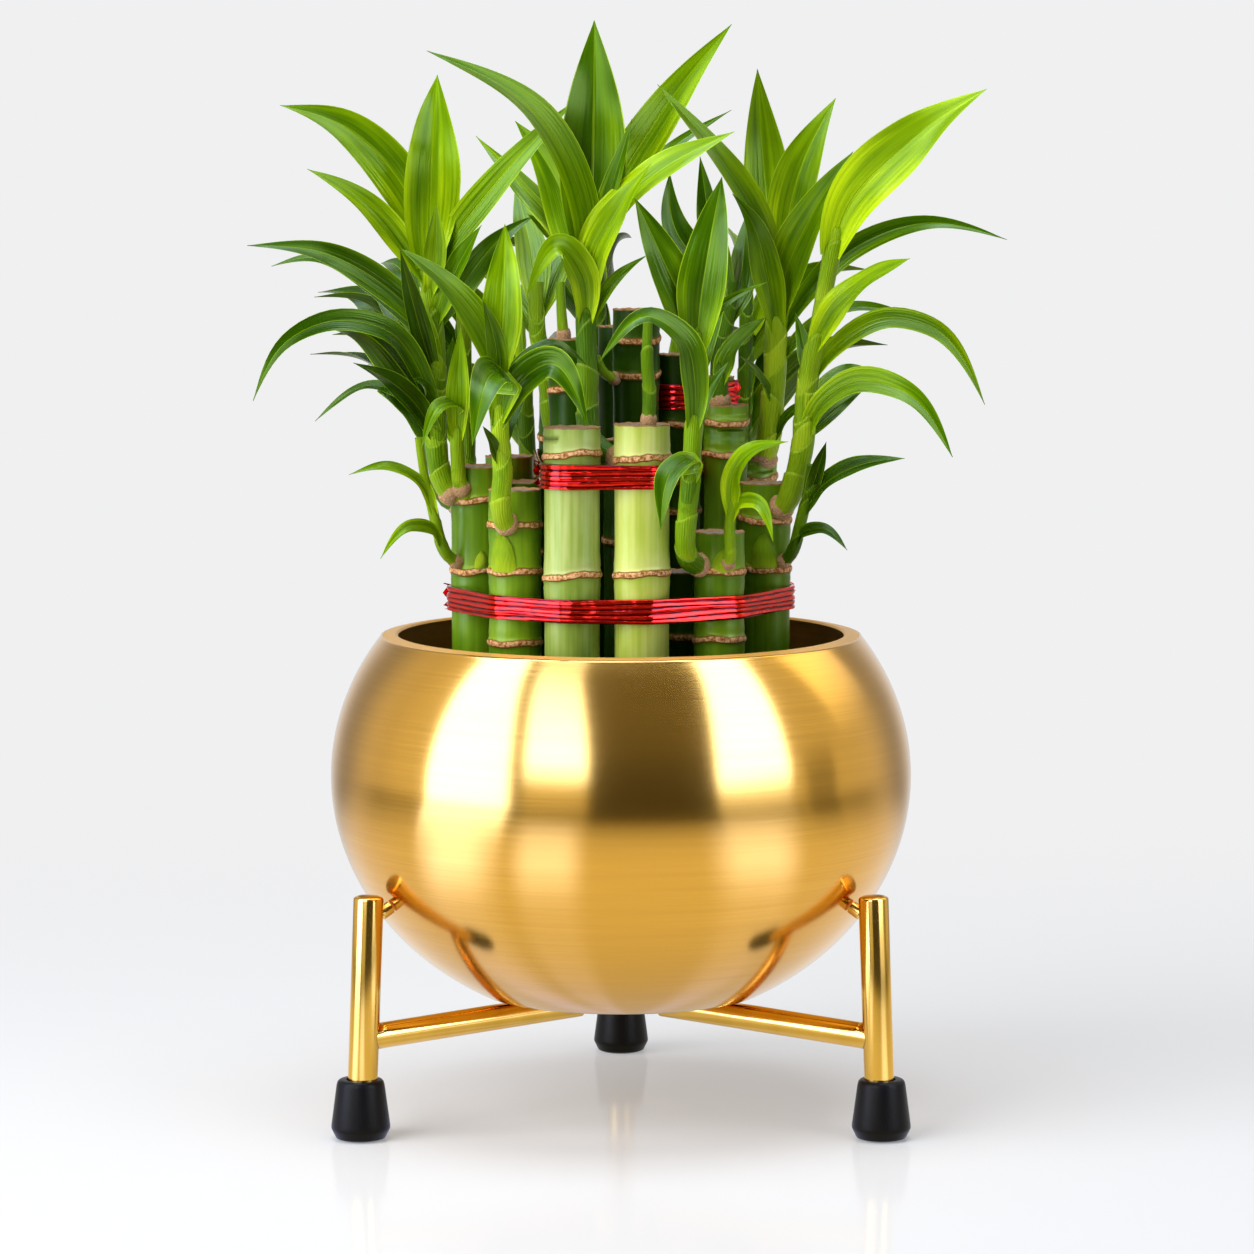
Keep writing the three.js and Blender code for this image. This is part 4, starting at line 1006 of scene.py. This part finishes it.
def add_ribbon(form, ribbon):
    """A stack of glossy strands, drawn tight: ridges that drift a little along the band."""
    line, away, length = ribbon_path(ribbon.round)
    share = np.linspace(0, 1, len(line))[:, None]
    turn = math.tau * share
    outer_rows = 51
    up = np.concatenate([np.linspace(0, 1, outer_rows), [0.9, 0.1]])
    outside = np.concatenate([np.ones(outer_rows), [0, 0]])
    phase = RIBBON_STRANDS * up + 0.22 * np.sin(2 * turn) + 0.14 * np.sin(5 * turn + 1 + 4 * up)
    local = phase - np.floor(phase) - 0.5
    strands = 1 - np.abs(2 * local) ** 4
    tilt = np.sin(2.4 * np.floor(phase) + 3 * turn) * local
    rolled = np.clip(np.minimum(up, 1 - up) / 0.04, 0, 1) ** 0.5
    proud = RIBBON_CLEARANCE + outside * RIBBON_THICKNESS * rolled * (0.45 + 0.4 * strands + 0.4 * tilt)
    height = ribbon.bottom + up * (ribbon.top - ribbon.bottom) + 0.25 * np.sin(4 * turn) * (up - 0.5)
    points = stacked(line[:, :1] + away[:, :1] * proud, line[:, 1:] + away[:, 1:] * proud, height)
    form.grid(points, stacked(share * length / 40, up, strands))


def add_flap(form, ribbon, at, size, seed):
    """A crumpled end of the film that stands out of the band."""
    line, away, _ = ribbon_path(ribbon.round)
    i = int(np.argmin(np.linalg.norm(line - np.array(at), axis=1)))
    origin = np.array([*line[i], (ribbon.bottom + ribbon.top) / 2])
    out = np.array([*away[i], 0.0])
    along = np.cross(UP, out)
    u = np.linspace(0, 1, 16)[:, None]
    v = np.linspace(-1, 1, 14)
    folds = 0.9 * np.sin(9 * v + seed) * u + 0.35 * np.sin(17 * v + 6 * u + seed) * u
    lean = size * u * (0.75 + 0.1 * np.sin(5 * v + seed))
    rise = v * 3.0 * (1 + 0.25 * u) + 0.5 * u * np.sin(4 * v + seed)
    stand = 0.7 + 0.45 * lean + 0.8 * folds
    points = origin + out * stand[..., None] + along * (0.8 * lean)[..., None] + UP * rise[..., None]
    # Painted shade: the third value darkens the film in stripes that follow its folds, darkest in their
    # troughs.
    form.grid(points, stacked(u + seed, v, 0.75 + 0.25 * np.sin(9 * v + seed)), closed=False)


def make_ribbons(foil):
    """One piece for each ribbon together with its loose ends."""
    for ribbon in RIBBONS:
        form = Form()
        add_ribbon(form, ribbon)
        for k, (at, size) in enumerate(ribbon.ends):
            add_flap(form, ribbon, at, size, 1.7 * k + len(ribbon.name))
        form.piece("foil_" + ribbon.name, [foil], "red_foil", ribbon.name)


# The bowl and its fill


def shell_profile(bottom, top, inset, count):
    """Points up one wall of the bowl, evenly spread in angle round its centre."""
    across, upright = BOWL_RADIUS - inset, BOWL_HALF_HEIGHT - inset
    ends = [math.asin((z - BOWL_CENTRE_Z) / upright) for z in (bottom, top)]
    return [[across * math.cos(a), BOWL_CENTRE_Z + upright * math.sin(a)] for a in np.linspace(*ends, count)]


def make_bowl(gold):
    """A spun shell with a rolled lip and a flat underside. Its second material is for the inside."""
    sides = 256
    floor_z = BOWL_BOTTOM_Z + WALL
    outside = shell_profile(BOWL_BOTTOM_Z, RIM_Z - LIP_DROP - 0.5, 0, 90)
    outside[0][1] = BOWL_BOTTOM_Z + 0.45
    flat = [[reach, BOWL_BOTTOM_Z] for reach in (AT_AXIS, 20, 31)] + [[34.2, BOWL_BOTTOM_Z + 0.15]]
    outer = outside[-1][0]
    inner = shell_profile(floor_z, RIM_Z, WALL, 2)[-1][0]
    lip = [[outer - 0.25, RIM_Z - LIP_DROP - 0.08], [outer - 0.7, RIM_Z - LIP_DROP + 0.02],
           [inner + 0.85, RIM_Z - 0.06], [inner + 0.4, RIM_Z - 0.1], [inner, RIM_Z - 0.55]]
    inside = shell_profile(floor_z, RIM_Z - 0.9, WALL, 44)[::-1] + [[AT_AXIS, floor_z]]
    form = Form()
    for profile in (flat + outside, [outside[-1]] + lip[:2]):
        form.grid(turned_grid(profile, sides))
    for profile in (lip[1:3], lip[2:], [lip[-1]] + inside):
        form.grid(turned_grid(profile, sides), 0.0, 1)
    form.piece("bowl_shell", gold, "brushed_gold", "bowl")


def pebble_places(draw):
    """Places and sizes of pebbles that lie clear of the canes and beside each other."""
    tries, crowding = 6000, 0.86
    canes = np.array([[cane.x, cane.y, cane.radius] for cane in CANES.values()])
    places = []
    for _ in range(tries):
        reach = (FILL_RADIUS - 2) * math.sqrt(draw.random())
        turn = math.tau * draw.random()
        size = 3.2 + 2.6 * draw.random()
        x, y = reach * math.cos(turn), reach * math.sin(turn)
        clear = np.min(np.hypot(canes[:, 0] - x, canes[:, 1] - y) - canes[:, 2]) > size * 0.9
        apart = all(math.hypot(x - a, y - b) > crowding * (size + c) for a, b, c in places)
        if clear and apart and reach + size < FILL_RADIUS:
            places.append((x, y, size))
    return places


def make_fill(materials):
    """Dark pebbles that lie round the canes, over the solid fill."""
    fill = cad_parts["pebble_fill"]
    fill.data.materials.clear()
    fill.data.materials.append(materials[0])
    draw = np.random.default_rng(7)
    form = Form()
    lon = full_turn(22)
    lat = np.linspace(-math.pi / 2, math.pi / 2, 14)[:, None]
    for x, y, size in pebble_places(draw):
        squash = 0.55 + 0.2 * draw.random()
        stretch = 1 + 0.3 * draw.random()
        turn = math.pi * draw.random()
        long = size * stretch * np.cos(lat) * np.cos(lon)
        short = size / stretch * np.cos(lat) * np.sin(lon)
        lump = 1 + 0.06 * np.sin(3 * lon + size) * np.cos(lat)
        points = stacked(x + (long * math.cos(turn) - short * math.sin(turn)) * lump,
                         y + (long * math.sin(turn) + short * math.cos(turn)) * lump,
                         FILL_TOP_Z + PEBBLE_RISE + size * squash * np.sin(lat))
        form.grid(points, 0.0, int(draw.integers(len(materials))))
    form.piece("pebbles", materials, "dark_pebbles")


# The stand


def stand_point(degrees, reach, z):
    """A place at an azimuth round the bowl's axis."""
    return ring(0, 0, reach, math.radians(degrees), z)


def leg_reach(z):
    """How far out a leg's middle line is at a height."""
    return FOOT_REACH + (LEG_TOP_REACH - FOOT_REACH) * z / LEG_TOP_Z


def smooth_runs(profile):
    """Splits a profile at its corners, so that each run is shaded smooth and the corners stay crisp."""
    pairs = zip(profile, profile[1:])
    headings = [math.atan2(after[1] - here[1], after[0] - here[0]) for here, after in pairs]
    runs = [[profile[0]]]
    for here, before, after in zip(profile[1:], headings, headings[1:]):
        runs[-1].append(here)
        if abs((before - after + math.pi) % math.tau - math.pi) > CRISP_CORNER:
            runs.append([here])
    runs[-1].append(profile[-1])
    return runs


def turned_form(profile, start, direction, sides):
    """A turned surface along a direction, from a profile of [radius, distance]."""
    direction = unit(np.array(direction, float))
    side = unit(np.cross(direction, np.array([0.13, 0.31, 0.05]) + UP * (abs(direction[2]) < 0.9)))
    across = np.cross(direction, side)
    form = Form()
    for run in smooth_runs(profile):
        grid = turned_grid(run, sides)
        points = start + grid[..., :1] * side + grid[..., 1:2] * across + grid[..., 2:] * direction
        form.grid(points)
    return form


def rod(radius, length):
    """The profile of a plain rod with flat ends."""
    return [[AT_AXIS, 0], [radius, 0], [radius, length], [AT_AXIS, length]]


def leg_form(degrees):
    """A tube with a flat foot and a low domed top."""
    low = stand_point(degrees, leg_reach(LEG_BOTTOM_Z), LEG_BOTTOM_Z)
    high = stand_point(degrees, LEG_TOP_REACH, LEG_TOP_Z)
    length = float(np.linalg.norm(high - low))
    dome = ((1, 1.0), (0.98, 0.7), (0.9, 0.4), (0.7, 0.12), (0.4, 0.02))
    profile = [[AT_AXIS, 0], [LEG_RADIUS, 0], [LEG_RADIUS, length / 2]]
    profile += [[LEG_RADIUS * share, length - drop] for share, drop in dome] + [[AT_AXIS, length]]
    return turned_form(profile, low, high - low, 64)


def rail_form(degrees):
    """A tube that is saddled round its leg, and flattened where it runs under the bowl."""
    outer = stand_point(degrees, leg_reach(RAIL_OUTER_Z), RAIL_OUTER_Z)
    inner = stand_point(degrees, RAIL_INNER_REACH, RAIL_INNER_Z)
    length = np.linalg.norm(inner - outer)
    profile = [[RAIL_RADIUS, along] for along in np.linspace(0, 1, 24) * length] + [[AT_AXIS, length]]
    form = turned_form(profile, outer, inner - outer, 56)
    away = stand_point(degrees, 1, 0)
    for points in form.points:
        sideways = points @ np.cross(away, UP)
        hollow = np.sqrt(np.maximum((LEG_RADIUS + 0.05) ** 2 - sideways ** 2, 0))
        saddle = leg_reach(points[:, 2]) - hollow
        points -= away * np.maximum(points @ away - saddle, 0)[:, None]
        points[:, 2] = np.minimum(points[:, 2], STAND_TOP_Z)
    return form


def stud_form(degrees):
    """A short pin from a leg to the bowl."""
    start = stand_point(degrees, leg_reach(STUD_LEG_Z) - LEG_RADIUS + 0.1, STUD_LEG_Z)
    height = (STUD_BOWL_Z - BOWL_CENTRE_Z) / BOWL_HALF_HEIGHT
    end = stand_point(degrees, BOWL_RADIUS * math.sqrt(1 - height ** 2) + 0.5, STUD_BOWL_Z)
    return turned_form(rod(STUD_RADIUS, float(np.linalg.norm(end - start))), start, end - start, 32)


def foot_form(degrees):
    """A rubber foot with rounded edges, which tapers towards its leg."""
    profile = [[AT_AXIS, 0], [4.9, 0], [5.4, 0.1], [6.3, 0.5], [7.2, 2.3], [7.42, 2.75], [7.47, 3.2],
               [7.42, 3.8], [6.08, 13.9], [5.85, 14.7], [5.5, 15.1], [5.1, FOOT_HEIGHT], [3.6, FOOT_HEIGHT]]
    return turned_form(profile, stand_point(degrees, FOOT_REACH, 0), UP, 72)


def make_stand(gold, rubber):
    """The legs, rails, studs and feet, and the hub where the rails meet."""
    for side, degrees in LEG_AZIMUTHS.items():
        leg_form(degrees).piece("tube_leg_" + side, [gold], "polished_gold", "leg_" + side)
        rail_form(degrees).piece("tube_rail_" + side, [gold], "polished_gold", "rail_" + side)
        stud_form(degrees).piece("pin_stud_" + side, [gold], "polished_gold", "stud_" + side)
        foot_form(degrees).piece("rubber_foot_" + side, [rubber], "black_rubber", "foot_" + side)
    profile = [[AT_AXIS, HUB_BOTTOM_Z], [HUB_RADIUS - 1, HUB_BOTTOM_Z],
               [HUB_RADIUS - 0.3, HUB_BOTTOM_Z + 0.3], [HUB_RADIUS, HUB_BOTTOM_Z + 1],
               [HUB_RADIUS, STAND_TOP_Z], [AT_AXIS, STAND_TOP_Z]]
    turned_form(profile, np.zeros(3), UP, 96).piece("hub_plate", [gold], "polished_gold", "stand_hub")


# The studio


def stage_piece(name, points, look):
    """A floor or wall of the studio, closed all round."""
    piece = new_object(name, points, quads(*points.shape[:2]), [look.material])
    return piece


def around(azimuth, distance, z):
    """Places at an angle to the right of the direction from the bowl to the camera, in metres."""
    turn = np.radians(azimuth)
    return stacked(distance * np.sin(turn), -distance * np.cos(turn), z)


def make_floor():
    """A pale floor that fades into an even glow, and a pale wall all round that only the camera sees."""
    look = Look("studio")
    x, y, _ = look.parts(look.here())
    out = look.math("SQRT", x * x + y * y)
    fade = look.math("MAXIMUM", look.smooth(y, -0.1, 0.5), look.smooth(out, 0.45, 0.9))
    look.set(Base_Color=look.mix(fade, (0.50, 0.515, 0.54), BLACK), Roughness=0.9, Specular_IOR_Level=0.0,
             Coat_Weight=(1.0 - fade) * 0.33, Coat_Roughness=0.12, Emission_Color=STUDIO_WHITE,
             Emission_Strength=fade * (WALL_GLOW - FLOOR_GLOW) + FLOOR_GLOW)
    turn = full_turn(96)
    reaches = np.linspace(0.0001, STUDIO_REACH, 12)[:, None]
    stage_piece("studio_floor", ring(0, 0, reaches, turn, 0.0), look).visible_glossy = False

    look = Look("studio_wall")
    look.set(Base_Color=BLACK, Specular_IOR_Level=0.0, Emission_Color=STUDIO_WHITE,
             Emission_Strength=WALL_GLOW)
    heights = np.array([[0.0], [STUDIO_HEIGHT]])
    piece = stage_piece("studio_wall", ring(0, 0, STUDIO_REACH, turn, heights), look)
    piece.visible_diffuse = piece.visible_glossy = piece.visible_shadow = False


def band(azimuth, low, high, edge=1.5):
    """1 between two azimuths and 0 outside them, with soft edges."""
    return eased(azimuth, low - edge, low + edge) * (1 - eased(azimuth, high - edge, high + edge))


def room_glow(azimuth, elevation):
    """The light of the mirrored room, in degrees to the right of the camera and above the bowl: tall
    softboxes that spread at the top, the dark gaps beside them, and pale walls."""
    high = (np.clip(elevation, 0, PANEL_TOP) / PANEL_TOP) ** 3
    edges = (LEFT_END, SLIT, SLIT_HALF_WIDTH, FRONT_LEFT, FRONT_RIGHT, RIGHT_END)
    left_end, slit, gap, front_left, front_right, right_end = (foot + lean * high for foot, lean in edges)
    pale = 0.78 + 0.14 * band(azimuth, -100, left_end, 8) - 0.36 * band(np.abs(azimuth), 124, 150, 12)
    pale = pale + 1.5 * band(azimuth, 99, 128, 3) * eased(elevation, 16, 42)
    front = band(azimuth, front_left, front_right) * (1 - eased(elevation, 72, 80))
    pale = pale * (1 - front) + front * (0.085 + 0.10 * eased(elevation, 5, 40))
    beside = band(azimuth, 75, 90) * (1 - eased(elevation, 8, 24))
    dim = np.maximum(band(azimuth, slit - gap, slit + gap), beside)
    lit = band(azimuth, left_end, slit - gap) + 0.6 * eased(elevation, 71, 77)
    lit = lit + band(azimuth, slit + gap, front_left) * eased(elevation, 7, 24) * (1 - 0.75 * high)
    lit = lit + band(azimuth, front_right, right_end) * (0.08 + 0.92 * eased(elevation, 2, 17))
    return (pale * (1 - 0.5 * dim))[..., None] + SOFTBOX_STRENGTH * lit[..., None] * np.array(SOFTBOX_TINT)


def ground_glow(azimuth, reach):
    """The light of the mirrored room's floor: a painted shadow under the bowl, painted pools of light from
    the softboxes, and like the walls further out."""
    # Painted shadow: the floor that the metal mirrors is darkened in a round patch under the bowl.
    near = (1.0 - 0.36 * np.exp(-((reach / 0.07) ** 2))) * (1 - 0.2 * eased(np.abs(azimuth), 130, 160))
    pools = 1.35 * band(azimuth, -74, -48, 9) + band(azimuth, -36, -16, 5) + band(azimuth, 34, 62, 8)
    pools = (0.12 + 0.85 * eased(reach, 0.10, 0.2)) * pools
    near = near[..., None] + pools[..., None] * np.array(POOL_TINT)
    far = eased(reach, 0.17, 0.6)[..., None]
    sunk = (0.5 + 0.45 * eased(np.abs(azimuth), 100, 130))[..., None]
    return near * (1 - far) + far * sunk * room_glow(azimuth, 0.0 * reach)


def make_room():
    """A room that only mirror-like surfaces see: a dome of walls and a floor just below the studio's."""
    look = Look("mirrored_room")
    look.set(Base_Color=BLACK, Specular_IOR_Level=0.0, Emission_Strength=1.0,
             Emission_Color=look.node("Attribute", out="Color", attribute_name="glow"))
    look.material.cycles.emission_sampling = "NONE"
    azimuths = np.linspace(-180, 180, 480, endpoint=False)
    elevations = np.linspace(-3, 89.9, 94)[:, None]
    rise = np.radians(elevations)
    reaches = np.linspace(0.0001, ROOM_REACH, 60)[:, None]
    dome = around(azimuths, ROOM_REACH * np.cos(rise), ROOM_REACH * np.sin(rise))
    ground = around(azimuths, reaches, -0.0005)
    for name, points, glow in (("mirrored_walls", dome, room_glow(azimuths, elevations)),
                               ("mirrored_floor", ground, ground_glow(azimuths, reaches))):
        piece = stage_piece(name, points, look)
        carry(piece, "glow", glow)
        piece.visible_camera = piece.visible_diffuse = piece.visible_shadow = False


def make_world():
    """Pale air that fills in the shade, and colours that are shown as they are."""
    world = bpy.data.worlds.new("studio_air")
    world.use_nodes = True
    world.node_tree.nodes["Background"].inputs["Color"].default_value = (0.97, 0.98, 1.0, 1.0)
    world.node_tree.nodes["Background"].inputs["Strength"].default_value = 0.17
    bpy.context.scene.world = world
    bpy.context.scene.view_settings.view_transform = "Standard"


def aim_at(holder, spot, target):
    """Places a light or camera and turns it to its target, both round the bowl's axis, in metres."""
    here = Vector((spot[0] + axis_x, spot[1] + axis_y, spot[2]))
    there = Vector((target[0] + axis_x, target[1] + axis_y, target[2]))
    holder.location = here
    holder.rotation_euler = (there - here).to_track_quat("-Z", "Y").to_euler()
    bpy.context.scene.collection.objects.link(holder)


def add_softbox(name, spot, target, size, energy):
    """A soft light that mirror-like surfaces don't see."""
    light = bpy.data.lights.new(name, "AREA")
    light.shape = "RECTANGLE"
    light.size, light.size_y = size
    light.energy = energy
    holder = bpy.data.objects.new(name, light)
    holder.visible_camera = holder.visible_glossy = False
    aim_at(holder, spot, target)


def make_lights():
    """Tall softboxes at the sides and a wide one above, for everything that isn't mirror-like."""
    bottom, top, distance = 0.06, 1.75, 1.1
    middle = (bottom + top) / 2
    for name, azimuth, width, energy in (("left", -38, 0.58, 13.0), ("far_left", -66, 0.62, 16.0),
                                         ("right", 50.5, 0.76, 2.8)):
        spot = around(azimuth, distance, middle)
        add_softbox("softbox_" + name, spot, (0.0, 0.0, middle), (width, top - bottom), energy)
    add_softbox("softbox_top", (0.0, -0.1, 2.0), (0.0, 0.0, 0.1), (1.2, 1.0), 27.0)


def make_camera():
    """A camera at the eye, which looks at the middle of the bowl's mouth."""
    camera = bpy.data.cameras.new("camera")
    camera.lens = 134.15
    camera.sensor_width = 36.0
    holder = bpy.data.objects.new("camera", camera)
    aim_at(holder, (0.0, -EYE_DISTANCE * MM, EYE_Z * MM), (0.00155, 0.0, 0.1261))
    bpy.context.scene.camera = holder


# The whole

gold = [brushed_gold_look("brushed_gold", 0.13, 1.0, 0.3), brushed_gold_look("gold_inside", 0.45, 0.65, 0.1)]
polished = polished_gold_look()
pebbles = [pebble_look("pebble_black", (0.006, 0.006, 0.006), (0.02, 0.019, 0.018)),
           pebble_look("pebble_brown", (0.014, 0.010, 0.007), (0.035, 0.026, 0.02))]
skins = {
    # Painted shade: the dark skin, darker and less glossy, stands for the shade on the canes inside the
    # cluster.
    "dark": cane_look("cane_dark", 0.15, (0.005, 0.018, 0.0005), (0.014, 0.046, 0.001),
                      (0.045, 0.11, 0.004)),
    "green": cane_look("cane_green", 0.4, (0.035, 0.095, 0.002), (0.10, 0.21, 0.004), (0.24, 0.38, 0.014)),
    "bright": cane_look("cane_bright", 0.4, (0.20, 0.29, 0.01), (0.38, 0.46, 0.06), (0.64, 0.66, 0.22)),
    "waxy": cane_look("cane_waxy", 0.4, (0.10, 0.18, 0.010), (0.24, 0.33, 0.05), (0.50, 0.55, 0.20)),
}
make_plants(leaf_look(), stem_look(), cut_look(), collar_look(), skins)
make_ribbons(foil_look())
make_bowl(gold)
make_fill(pebbles)
make_stand(polished, rubber_look())
make_floor()
make_room()
make_world()
make_lights()
make_camera()
